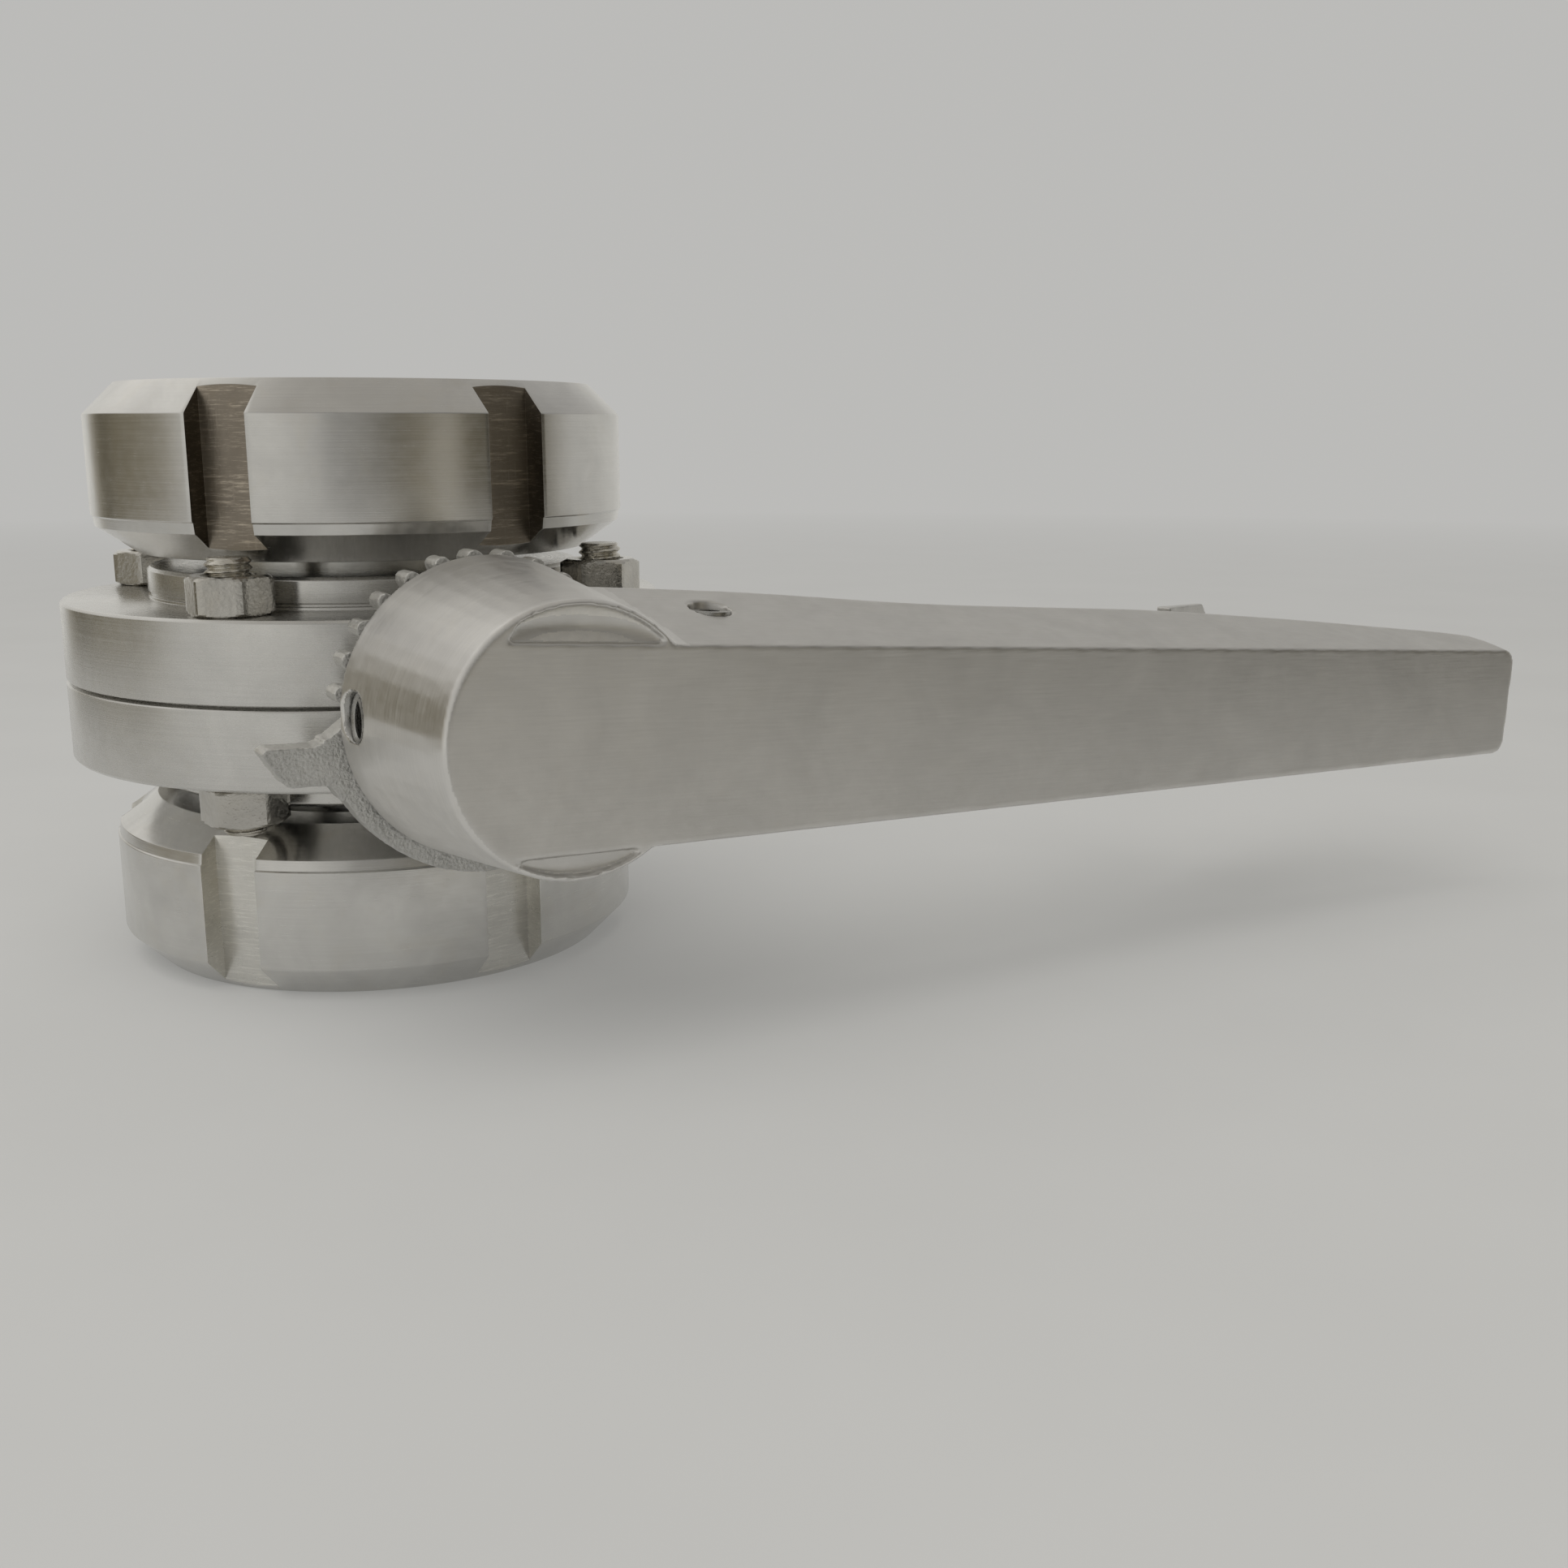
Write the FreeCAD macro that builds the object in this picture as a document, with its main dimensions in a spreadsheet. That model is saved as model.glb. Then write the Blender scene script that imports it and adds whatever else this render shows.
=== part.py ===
import FreeCAD, Part
import math
import os
import Sketcher
from FreeCAD import Placement, Rotation, Vector

# Sanitary butterfly valve, 1.5 inch size, with a slotted union nut on each end
# and a multi-position trigger handle.
# The origin is the centre of the disc, where the flow axis (+Z, up) meets the
# stem axis (along Y). The handle is in front, at -Y, and its lever points to
# +X, closed. Millimetres and degrees throughout.

os.makedirs("parts", exist_ok=True)
doc = FreeCAD.newDocument("butterfly_valve")

# Driving dimensions. Names ending in _y, _end, _front or _back that belong to
# the stem or the handle are distances from the flow axis along the stem.
DIMS = {
    # body halves: flange, raised ring and its weld line, socket for the liner
    "flange_rad": 42.8, "flange_thick": 11.1, "rim_cham": 0.45, "flange_edge": 0.4,
    "ring_rad": 31.0, "ring_top": 15.5, "ring_edge": 0.5,
    "line_low": 11.45, "line_depth": 0.3, "line_wide": 0.6, "line_slope": 0.15,
    "flow_rad": 19.0, "socket_low": 9.0, "spigot_rad": 22.0,
    # seat ring
    "seat_bore": 18.6, "seat_rad": 26.0, "seat_half": 6.6, "lip_rad": 22.0, "lip_half": 7.6,
    # stem bores, neck and key
    "stem_rad": 5.0, "stem_fit": 0.05, "bush_bore": 7.0, "front_bore_end": 43.6,
    "rear_bore_end": 37.5, "neck_bore": 5.4,
    "flat_y": 41.7, "flat_half": 14.0, "neck_rad": 11.0, "neck_root": 1.5, "neck_end": 44.4,
    "key_x": 7.2, "key_z": 8.6, "key_corner": 2.4, "key_end": 48.6,
    # studs and nuts
    "bolt_circle_rad": 36.8, "bolt_hole": 3.2, "bolt_rad": 3.0, "stud_top": 18.5,
    "stud_low": 17.7, "hex_flats": 10.0, "nut_thick": 5.2, "nut_bore": 3.05, "tip_cham": 0.6,
    # union nuts
    "union_rad": 37.8, "union_low": 17.5, "union_top": 40.9, "union_lip_z": 22.9,
    "union_face": 31.9, "union_cham_r": 4.4, "union_cham_z": 4.4,
    "union_thread": 31.0, "union_thread_low": 30.5, "union_relief": 32.0,
    "union_lip_bore": 24.6, "slot_floor": 34.2, "slot_wide": 8.5,
    "upper_phase": 45.0, "lower_phase": 40.3,
    # union liners
    "collar_rad": 28.2, "collar_low": 26.8, "collar_top": 30.0, "liner_neck_top": 20.6,
    # disc, stems, bushes and O-rings
    "disc_rad": 18.5, "disc_mid": 4.2, "disc_edge": 1.0, "boss_rad": 6.4, "boss_half": 17.2,
    "stem_in": 8.0, "stem_shoulder": 48.9, "drive_half": 3.5, "drive_end": 70.0,
    "rear_stem_end": 36.2, "bush_in": 28.2, "bush_front": 43.4, "bush_rear": 36.4,
    "oring_mid": 6.0, "oring_section": 0.94, "oring_y": 27.1,
    # index plate
    "plate_back": 44.5, "plate_front": 48.5, "root_rad": 17.4, "tooth_tip": 19.9,
    "rim_rad": 21.4, "tooth_half": 1.05, "pitch_deg": 180 / 14, "key_fit": 0.05,
    "droop_deg": 3.0,
    # handle casting: hub, dish, lever and its channel
    "hub_back": 48.8, "hub_back_rad": 19.3, "hub_front_rad": 16.1, "face_y": 76.6,
    "hub_edge": 0.8, "dish_rad": 15.5, "dish_depth": 6.5,
    "lever_half": 12.0, "lever_taper": 0.0213, "lever_flare": 0.26, "lever_len": 166.4,
    "lever_off": 0.9, "wall_front": 3.2, "wall_side": 2.6, "channel_x": 18.4,
    "channel_end": 158.0,
    # trigger pivot and grub screw
    "pivot_x": 22.7, "pivot_y": 64.0, "pin_rad": 2.0, "pin_head": 2.75, "head_deep": 1.2,
    "grub_y": 52.6, "grub_rad": 3.0, "grub_in": 3.5, "grub_out": 11.0,
    # trigger lever and its spring
    "nose_x": 20.3, "nose_half": 0.9, "web_half": 4.0, "arm_half": 7.8, "tail_half": 9.4,
    "tab_half": 12.2, "pivot_boss_rad": 4.0, "pivot_boss_half": 9.0,
    "spring_x": 46.0, "coil_rad": 2.9, "wire_rad": 0.45,
    "spring_back": 65.2, "spring_front": 73.3,
}
TOOTH_COUNT = 14
SLOT_COUNT = 6
OVERLAP = 0.5  # how far a pad starts inside the one it grows from

sheet = doc.addObject("Spreadsheet::Sheet", "Dims")
for row, (alias, value) in enumerate(DIMS.items(), 1):
    sheet.set("A%d" % row, alias)
    sheet.set("B%d" % row, str(value))
    sheet.setAlias("B%d" % row, alias)
doc.recompute()


class Bound:
    """A number together with the sheet expression that gives it."""

    def __init__(self, value, text):
        self.value, self.text = float(value), text

    @staticmethod
    def of(other):
        if isinstance(other, Bound):
            return other
        return Bound(other, "(%s)" % repr(float(other)))

    def __add__(self, other):
        other = Bound.of(other)
        return Bound(self.value + other.value, "(%s + %s)" % (self.text, other.text))

    __radd__ = __add__

    def __sub__(self, other):
        other = Bound.of(other)
        return Bound(self.value - other.value, "(%s - %s)" % (self.text, other.text))

    def __rsub__(self, other):
        return Bound.of(other) - self

    def __mul__(self, other):
        other = Bound.of(other)
        return Bound(self.value * other.value, "(%s * %s)" % (self.text, other.text))

    __rmul__ = __mul__

    def __neg__(self):
        return self * -1.0


def num(alias):
    return float(sheet.get(alias))


def dim(alias):
    return Bound(num(alias), "Dims." + alias)


# ------------------------------------------------------------ point helpers
def polar(radius, degrees):
    angle = math.radians(degrees)
    return math.cos(angle) * radius, math.sin(angle) * radius


def rotated(points, degrees):
    cosine, sine = math.cos(math.radians(degrees)), math.sin(math.radians(degrees))
    return [(cosine * x - sine * y, sine * x + cosine * y) for x, y in points]


def mirrored(points, side):
    """The points as given for side 1, or flipped in their second column for -1."""
    return [(x, side * y) for x, y in points]


def with_mirror(half):
    """Closes a half outline with its own mirror image below the first axis."""
    return mirrored(half, -1)[::-1] + half


# ----------------------------------------------------- sketches and features
def origin_feature(body, role):
    return [item for item in body.Origin.OriginFeatures if item.Role == role][0]


PARTS = []


def new_body(name):
    body = doc.addObject("PartDesign::Body", name)
    body.Label = name
    PARTS.append(body)
    return body


def new_sketch(body, name, role, offset=None):
    """On XZ_Plane, sketch y is Z, and offsets and pads run towards -Y."""
    sketch = body.newObject("Sketcher::SketchObject", name)
    sketch.AttachmentSupport = [(origin_feature(body, role), "")]
    sketch.MapMode = "FlatFace"
    if offset is not None:
        sketch.AttachmentOffset = Placement(Vector(0, 0, offset.value), Rotation())
        sketch.setExpression("AttachmentOffset.Base.z", offset.text)
    return sketch


def pin_point(sketch, edge, end, x, y):
    for kind, place in (("DistanceX", x), ("DistanceY", y)):
        place = Bound.of(place)
        index = sketch.addConstraint(
            Sketcher.Constraint(kind, -1, 1, edge, end, place.value))
        sketch.setExpression("Constraints[%d]" % index, place.text)


def add_circle(sketch, radius, x=0, y=0):
    x, y, radius = Bound.of(x), Bound.of(y), Bound.of(radius)
    circle = Part.Circle(Vector(x.value, y.value, 0), Vector(0, 0, 1), radius.value)
    edge = sketch.addGeometry(circle, False)
    index = sketch.addConstraint(Sketcher.Constraint("Radius", edge, radius.value))
    sketch.setExpression("Constraints[%d]" % index, radius.text)
    pin_point(sketch, edge, 3, x, y)


def circle_sketch(body, name, role, radius, offset=None, centre=(0, 0)):
    sketch = new_sketch(body, name, role, offset)
    add_circle(sketch, radius, *centre)
    return sketch


def outline_sketch(body, name, role, points, offset=None):
    sketch = new_sketch(body, name, role, offset)
    corners = [Vector(Bound.of(x).value, Bound.of(y).value, 0) for x, y in points]
    count = len(corners)
    for k in range(count):
        sketch.addGeometry(Part.LineSegment(corners[k], corners[(k + 1) % count]), False)
    for k in range(count):
        sketch.addConstraint(Sketcher.Constraint("Coincident", k, 2, (k + 1) % count, 1))
    for k, (x, y) in enumerate(points):
        pin_point(sketch, k, 1, x, y)
    return sketch


def revolve(body, name, sketch_name, points):
    """Turns an outline of (radius, z) about the flow axis."""
    sketch = outline_sketch(body, sketch_name, "XZ_Plane", points)
    feature = body.newObject("PartDesign::Revolution", name)
    feature.Profile = sketch
    feature.ReferenceAxis = (sketch, ["V_Axis"])
    feature.Angle = 360
    doc.recompute()


def extrusion(kind, body, name, sketch, length, mid, rev):
    feature = body.newObject("PartDesign::" + kind, name)
    feature.Profile = sketch
    length = Bound.of(length)
    feature.Length = length.value
    feature.setExpression("Length", length.text)
    feature.Midplane = mid
    feature.Reversed = rev
    doc.recompute()
    return feature


def pad(body, name, sketch, length, mid=False):
    return extrusion("Pad", body, name, sketch, length, mid, False)


def pocket(body, name, sketch, length, mid=False, rev=False):
    """Cuts against the sketch normal, or along it when rev is set."""
    before = body.Shape.Volume
    feature = extrusion("Pocket", body, name, sketch, length, mid, rev)
    if not feature.Shape.Volume < before - 1e-3:
        raise SystemExit("%s cut nothing" % name)
    return feature


def polar_pattern(body, name, feature, axis, count, angle=360, rev=False):
    pattern = body.newObject("PartDesign::PolarPattern", name)
    pattern.Originals = [feature]
    pattern.Axis = (origin_feature(body, axis), [""])
    pattern.Reversed = rev
    angle = Bound.of(angle)
    pattern.Angle = angle.value
    pattern.setExpression("Angle", angle.text)
    pattern.Occurrences = count
    body.Tip = pattern
    doc.recompute()


def turn_body(body, axis, alias):
    body.Placement = Placement(Vector(0, 0, 0), Rotation(axis, num(alias)))
    body.setExpression("Placement.Rotation.Angle", "Dims." + alias)


def add_shape(name, shape, placement=Placement()):
    feature = doc.addObject("Part::Feature", name)
    feature.Label = name
    feature.Shape = shape
    feature.Placement = placement
    PARTS.append(feature)


# ------------------------------------------------------- body halves (bolted)
def key_half(half_x, half_z):
    """Upper half of the key's section, a rectangle with its corners cut off."""
    corner = dim("key_corner")
    return [(half_x, half_z - corner), (half_x - corner, half_z),
            (corner - half_x, half_z), (-half_x, half_z - corner)]


# Two turned rings meet on the plane z = 0 and clamp the seat ring. Each has a
# raised hub ring with a weld line, half of the stem bore, half of the stem neck
# and a milled flat where the neck stands on the rim.
def body_half(name, side):
    body = new_body(name)
    flange, cham = dim("flange_rad"), dim("rim_cham")
    thick, edge = dim("flange_thick"), dim("flange_edge")
    ring, ring_edge, top = dim("ring_rad"), dim("ring_edge"), dim("ring_top")
    line, slope, wide = dim("line_low"), dim("line_slope"), dim("line_wide")
    line_floor = ring - dim("line_depth")
    revolve(body, name + "_ring", name + "_profile", mirrored([
        (dim("seat_rad"), 0), (flange - cham, 0), (flange, cham),
        (flange, thick - edge), (flange - edge, thick),
        (ring, thick), (ring, line), (line_floor, line + slope),
        (line_floor, line + wide - slope), (ring, line + wide),
        (ring, top - ring_edge), (ring - ring_edge, top),
        (dim("spigot_rad"), top), (dim("spigot_rad"), dim("socket_low")),
        (dim("flow_rad"), dim("socket_low")), (dim("flow_rad"), dim("lip_half")),
        (dim("lip_rad"), dim("lip_half")), (dim("lip_rad"), dim("seat_half")),
        (dim("seat_rad"), dim("seat_half"))], side))

    # milled flat on the front of the rim, square to the stem
    through = 2 * thick + 10
    half, flat, clear = dim("flat_half"), -dim("flat_y"), -flange - 2
    sketch = outline_sketch(body, name + "_flat", "XY_Plane",
                            [(-half, flat), (half, flat), (half, clear), (-half, clear)])
    pocket(body, name + "_flat_cut", sketch, through, mid=True)

    # neck: round shoulder, then a key with two flats that carries the index plate
    radius, start = dim("neck_rad"), dim("flat_y") - dim("neck_root")
    arc = [polar(radius, side * angle) for angle in range(168, 0, -12)]
    sketch = outline_sketch(body, name + "_neck", "XZ_Plane",
                            [(-radius, 0)] + arc + [(radius, 0)], start)
    pad(body, name + "_neck_pad", sketch, dim("neck_end") - start)
    half_x, start = dim("key_x"), dim("neck_end") - OVERLAP
    key = mirrored(key_half(half_x, dim("key_z")), side)
    sketch = outline_sketch(body, name + "_key", "XZ_Plane",
                            [(-half_x, 0), (half_x, 0)] + key, start)
    pad(body, name + "_key_pad", sketch, dim("key_end") - start)

    # bush bores to the front and rear, smaller bore on through the neck
    for bore, radius, length, rev in (
            ("front", dim("bush_bore"), dim("front_bore_end"), True),
            ("rear", dim("bush_bore"), dim("rear_bore_end"), False),
            ("nose", dim("neck_bore"), dim("key_end") + 1, True)):
        sketch = circle_sketch(body, name + "_" + bore, "XZ_Plane", radius)
        pocket(body, name + "_" + bore + "_bore", sketch, length, rev=rev)

    # four bolt holes between the stem axis and the cross axis
    sketch = circle_sketch(body, name + "_bolt", "XY_Plane", dim("bolt_hole"),
                           centre=polar(dim("bolt_circle_rad"), 45))
    hole = pocket(body, name + "_bolt_hole", sketch, through, mid=True)
    polar_pattern(body, name + "_bolt_holes", hole, "Z_Axis", 4)


# ----------------------------------------------------------------- seat ring
def seat_ring():
    body = new_body("seat_ring")
    revolve(body, "seat_body", "seat_profile", with_mirror([
        (dim("seat_rad"), dim("seat_half")), (dim("lip_rad"), dim("seat_half")),
        (dim("lip_rad"), dim("lip_half")), (dim("seat_bore"), dim("lip_half"))]))
    sketch = circle_sketch(body, "seat_stem", "XZ_Plane", dim("stem_rad") + dim("stem_fit"))
    pocket(body, "seat_stem_hole", sketch, 80, mid=True)


# -------------------------------------------------- union liners (weld ends)
# The spigot sits in the hub ring; the 45 degree back of the collar is what the
# union nut pulls against. The collar's end face has a shallow ring groove.
def liner(name, side):
    body = new_body(name)
    flow, spigot = dim("flow_rad"), dim("spigot_rad")
    collar, top = dim("collar_rad"), dim("collar_top")
    edge, bore_edge, groove = 0.4, 0.3, 0.9
    revolve(body, name + "_body", name + "_profile", mirrored([
        (flow, dim("socket_low")), (spigot, dim("socket_low")),
        (spigot, dim("liner_neck_top")), (collar, dim("collar_low")),
        (collar, top - edge), (collar - edge, top),
        (flow + 4.8, top), (flow + 4.4, top - groove),
        (flow + 2.6, top - groove), (flow + 2.2, top),
        (flow + bore_edge, top), (flow, top - bore_edge)], side))


# ---------------------------------------------------------------- union nuts
def union_nut(name, side, phase_alias):
    body = new_body(name)
    outer, low, top = dim("union_rad"), dim("union_low"), dim("union_top")
    lip_z, lip_bore, lip_edge = dim("union_lip_z"), dim("union_lip_bore"), 0.5
    thread, thread_low = dim("union_thread"), dim("union_thread_low")
    thread_cham, relief = 1.2, dim("union_relief")
    revolve(body, name + "_ring", name + "_profile", mirrored([
        (lip_bore + lip_edge, low), (dim("union_face"), low),
        (outer - 1.0, lip_z - 1.9), (outer - 0.45, lip_z - 1.6),
        (outer - 0.25, lip_z - 0.2), (outer, lip_z),
        (outer, top - dim("union_cham_z")), (outer - dim("union_cham_r"), top),
        (thread + thread_cham, top), (thread, top - thread_cham),
        (thread, thread_low), (relief, thread_low - 1.0),
        (relief, thread_low - 3.5), (relief - 3.0, thread_low - 3.5),
        (lip_bore, thread_low - 7.9), (lip_bore, low + lip_edge)], side))
    half = 0.5 * dim("slot_wide")
    sketch = outline_sketch(body, name + "_slot", "XY_Plane",
                            with_mirror([(outer + 3, half), (dim("slot_floor"), half)]))
    slot = pocket(body, name + "_slot_cut", sketch, 2 * top + 10, mid=True)
    polar_pattern(body, name + "_slots", slot, "Z_Axis", SLOT_COUNT)
    turn_body(body, Vector(0, 0, 1), phase_alias)


# --------------------------------------------------------- disc and its stems
def valve_disc():
    body = new_body("valve_disc")
    radius, middle, edge = dim("disc_rad"), dim("disc_mid"), dim("disc_edge")
    revolve(body, "disc_plate", "disc_profile", with_mirror([
        (radius, edge), (radius - 0.3, edge + 0.35), (radius - 2.4, edge + 0.7),
        (dim("boss_rad"), middle - 0.2), (0, middle)]))
    sketch = circle_sketch(body, "disc_boss", "XZ_Plane", dim("boss_rad"))
    pad(body, "disc_boss_pad", sketch, 2 * dim("boss_half"), mid=True)
    for end, side in (("front", 1), ("rear", -1)):
        sketch = circle_sketch(body, "disc_%s_bore" % end, "XZ_Plane",
                               dim("stem_rad"), side * dim("stem_in"))
        pocket(body, "disc_%s_socket" % end, sketch, 20, rev=side == 1)


def drive_stem():
    body = new_body("drive_stem")
    sketch = circle_sketch(body, "stem_round", "XZ_Plane", dim("stem_rad"), dim("stem_in"))
    pad(body, "stem_shaft", sketch, dim("stem_shoulder") - dim("stem_in"))
    # the square is turned with the handle, so its corners carry the same droop
    half, start = dim("drive_half"), dim("stem_shoulder") - OVERLAP
    square = rotated([(-half, -half), (half, -half), (half, half), (-half, half)],
                     -num("droop_deg"))
    sketch = outline_sketch(body, "stem_square", "XZ_Plane", square, start)
    pad(body, "stem_drive", sketch, dim("drive_end") - start)


def rear_trunnion():
    body = new_body("rear_trunnion")
    sketch = circle_sketch(body, "trunnion_round", "XZ_Plane",
                           dim("stem_rad"), -dim("rear_stem_end"))
    pad(body, "trunnion_pin", sketch, dim("rear_stem_end") - dim("stem_in"))


def stem_bush(name, start, end):
    """Plain bush along Y; start and end are measured towards the handle."""
    body = new_body(name)
    sketch = new_sketch(body, name + "_section", "XZ_Plane", start)
    add_circle(sketch, dim("stem_rad") + dim("stem_fit"))
    add_circle(sketch, dim("bush_bore"))
    pad(body, name + "_pad", sketch, end - start)


def oring(name, side):
    ring = doc.addObject("Part::Torus", name)
    ring.Label = name
    ring.setExpression("Radius1", "Dims.oring_mid")
    ring.setExpression("Radius2", "Dims.oring_section")
    ring.Placement = Placement(Vector(0, side * num("oring_y"), 0),
                               Rotation(Vector(1, 0, 0), 90))
    ring.setExpression("Placement.Base.y", "%d * Dims.oring_y" % side)
    PARTS.append(ring)


# --------------------------------------------------------------- index plate
# Left stop lug, as (x, z) on a plate of rim radius LUG_RIM
LUG_RIM = 21.4
LUG_OUTLINE = [
    (-14.0, 1.2), (-17.4, -0.75), (-21.2, -3.75), (-22.3, -4.1), (-27.6, -4.15),
    (-28.2, -4.4), (-28.4, -4.95), (-26.0, -8.3), (-25.4, -8.8), (-24.6, -9.0),
    (-20.3, -8.9), (-18.9, -10.9), (-14.0, -11.6)]


# Cast plate on the neck key: a toothed upper half, a plain lower rim and two
# stop lugs. The whole plate is turned by the droop angle; its key hole isn't.
def index_plate():
    body = new_body("index_plate")
    back = dim("plate_back")
    thick = dim("plate_front") - back
    sketch = circle_sketch(body, "plate_core", "XZ_Plane", dim("root_rad"), back)
    pad(body, "plate_disc", sketch, thick)
    rim = dim("rim_rad")
    arc = [polar(rim, angle) for angle in range(-171, -9, 6)]
    sketch = outline_sketch(body, "plate_rim", "XZ_Plane",
                            [(-0.55 * rim, 0)] + arc + [(0.55 * rim, 0)], back)
    pad(body, "plate_rim_pad", sketch, thick)

    scale = (1.0 / LUG_RIM) * rim
    for lug, flip in (("left", 1), ("right", -1)):
        sketch = outline_sketch(body, "plate_lug_" + lug, "XZ_Plane",
                                [(flip * x * scale, z * scale) for x, z in LUG_OUTLINE], back)
        pad(body, "plate_lug_pad_" + lug, sketch, thick)

    half, tip, root = dim("tooth_half"), dim("tooth_tip"), dim("root_rad") - 3
    tooth = [(root, -half), (tip - 0.75, -half), (tip - 0.2, -0.6 * half), (tip, 0),
             (tip - 0.2, 0.6 * half), (tip - 0.75, half), (root, half)]
    sketch = outline_sketch(body, "plate_tooth", "XZ_Plane",
                            rotated(tooth, num("pitch_deg") / 2), back)
    first = pad(body, "plate_tooth_pad", sketch, thick)
    polar_pattern(body, "plate_teeth", first, "Y_Axis", TOOTH_COUNT,
                  (TOOTH_COUNT - 1) * dim("pitch_deg"), rev=True)

    # turned back by the droop so that the hole stays square to the body
    hole = with_mirror(key_half(dim("key_x") + dim("key_fit"), dim("key_z") + dim("key_fit")))
    sketch = outline_sketch(body, "plate_key_hole", "XZ_Plane",
                            rotated(hole, num("droop_deg")), back - 1)
    pocket(body, "plate_key_cut", sketch, thick + 4, rev=True)
    turn_body(body, Vector(0, 1, 0), "droop_deg")


# ------------------------------------------------------ body studs and nuts
# Azimuth of each stud about the flow axis: turn of its upper nut
NUT_TURNS = {-135: -27.0, -45: -22.0, 45: 11.0, 135: 4.0}
LOWER_NUT_TURN = 11  # further turn of the nuts below


def body_nut():
    """Hexagon nut standing on z = 0, its corners chamfered on both ends."""
    prism = doc.addObject("Part::Prism", "nut_blank_prism")
    prism.Polygon = 6
    prism.setExpression("Circumradius", "Dims.hex_flats / 3^0.5")
    prism.setExpression("Height", "Dims.nut_thick")
    blank = doc.addObject("Part::Cylinder", "nut_blank_round")
    blank.setExpression("Radius", "Dims.hex_flats * 0.572")
    blank.setExpression("Height", "Dims.nut_thick")
    doc.recompute()
    chamfer = doc.addObject("Part::Chamfer", "nut_blank_cham")
    chamfer.Base = blank
    chamfer.Edges = [(1, 0.42, 0.72), (3, 0.72, 0.42)]
    hexagon = doc.addObject("Part::Common", "nut_blank_hex")
    hexagon.Base = prism
    hexagon.Tool = chamfer
    doc.recompute()
    hole = doc.addObject("Part::Cylinder", "nut_hole")
    hole.setExpression("Radius", "Dims.nut_bore")
    hole.setExpression("Height", "Dims.nut_thick + 2")
    hole.Placement = Placement(Vector(0, 0, -1), Rotation())
    nut = doc.addObject("Part::Cut", "one_body_nut")
    nut.Base = hexagon
    nut.Tool = hole
    doc.recompute()
    return nut.Shape


def body_stud():
    """Plain stud standing on z = 0, with a chamfered point at each end."""
    shank = doc.addObject("Part::Cylinder", "stud_shank")
    shank.setExpression("Radius", "Dims.bolt_rad")
    shank.setExpression("Height", "Dims.stud_low + Dims.stud_top - 2 * Dims.tip_cham")
    shank.setExpression("Placement.Base.z", "Dims.tip_cham")
    doc.recompute()
    full, narrow = "Dims.bolt_rad", "Dims.bolt_rad - Dims.tip_cham"
    points = []
    for k, (low_rad, top_rad, z) in enumerate((
            (full, narrow, "Dims.stud_low + Dims.stud_top - Dims.tip_cham"),
            (narrow, full, "0"))):
        point = doc.addObject("Part::Cone", "stud_point_%d" % k)
        point.setExpression("Radius1", low_rad)
        point.setExpression("Radius2", top_rad)
        point.setExpression("Height", "Dims.tip_cham")
        point.setExpression("Placement.Base.z", z)
        doc.recompute()
        points.append(point)
    stud = doc.addObject("Part::MultiFuse", "stud_blank")
    stud.Shapes = [shank] + points
    doc.recompute()
    return stud.Shape


def placed_solid(shape, azimuth, z, turn=0):
    copy = shape.copy()
    x, y = polar(num("bolt_circle_rad"), azimuth)
    copy.Placement = Placement(Vector(x, y, z), Rotation(Vector(0, 0, 1), turn))
    return copy.Solids[0]


def nuts_and_studs():
    nut, stud = body_nut(), body_stud()
    upper_z = num("flange_thick")
    lower_z = -num("flange_thick") - num("nut_thick")
    nuts = []
    for azimuth, turn in NUT_TURNS.items():
        nuts.append(placed_solid(nut, azimuth, upper_z, turn))
        nuts.append(placed_solid(nut, azimuth, lower_z, turn + LOWER_NUT_TURN))
    add_shape("body_nuts", Part.makeCompound(nuts))
    studs = [placed_solid(stud, azimuth, -num("stud_low")) for azimuth in NUT_TURNS]
    add_shape("body_studs", Part.makeCompound(studs))


# ------------------------------------------------------------ handle casting
# Drawn with the lever along +X, then turned by the droop. A conical hub sits on
# the stem; the lever is a tapered U-channel with flared sides, open at the back,
# and the hub face is dished above and below the lever's edges.
DROOP = Placement(Vector(0, 0, 0), Rotation(Vector(0, 1, 0), num("droop_deg")))
FACE_Y = -num("face_y")
MID_Z = -num("lever_off")  # middle plane of the lever
LEVER_START = 2
WEDGE_START, WEDGE_END = -26, 176
PLAN_Z, PLAN_HEIGHT = -40, 80  # plan outlines are extruded right through the part

# Back edge of the lever, hub to tip, as (x, y)
LEVER_BACK = [
    (LEVER_START, -55.6), (17, -55.7), (30, -56.2), (44, -57.6), (56, -58.9), (70, -59.3),
    (84, -59.3), (100, -59.5), (115, -60.9), (131, -62.8), (147, -65.3), (157.5, -67.0),
    (163.5, -68.6)]
# Steep end of the dish beside the lever's upper edge, as (x, z)
DISH_CORNER = [(-8.9, 9.5), (-8.9, 11.0), (-7.9, 13.0), (-6.4, 15.2), (-6.0, 20.0),
               (-30.0, 20.0), (-30.0, 9.5)]


def half_width(x, y):
    """Half of the lever's width along z at a place in its plan."""
    taper, flare = num("lever_taper"), num("lever_flare")
    return num("lever_half") - taper * x + flare * (y - FACE_Y)


PIVOT_X, PIVOT_Y = num("pivot_x"), -num("pivot_y")
PIVOT_TOP = MID_Z + half_width(PIVOT_X, PIVOT_Y)
PIVOT_LOW = MID_Z - half_width(PIVOT_X, PIVOT_Y)
HEAD_Z = PIVOT_TOP - num("head_deep")  # floor of the screw head's recess


def closed_face(points):
    return Part.Face(Part.makePolygon(points + [points[0]]))


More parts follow.
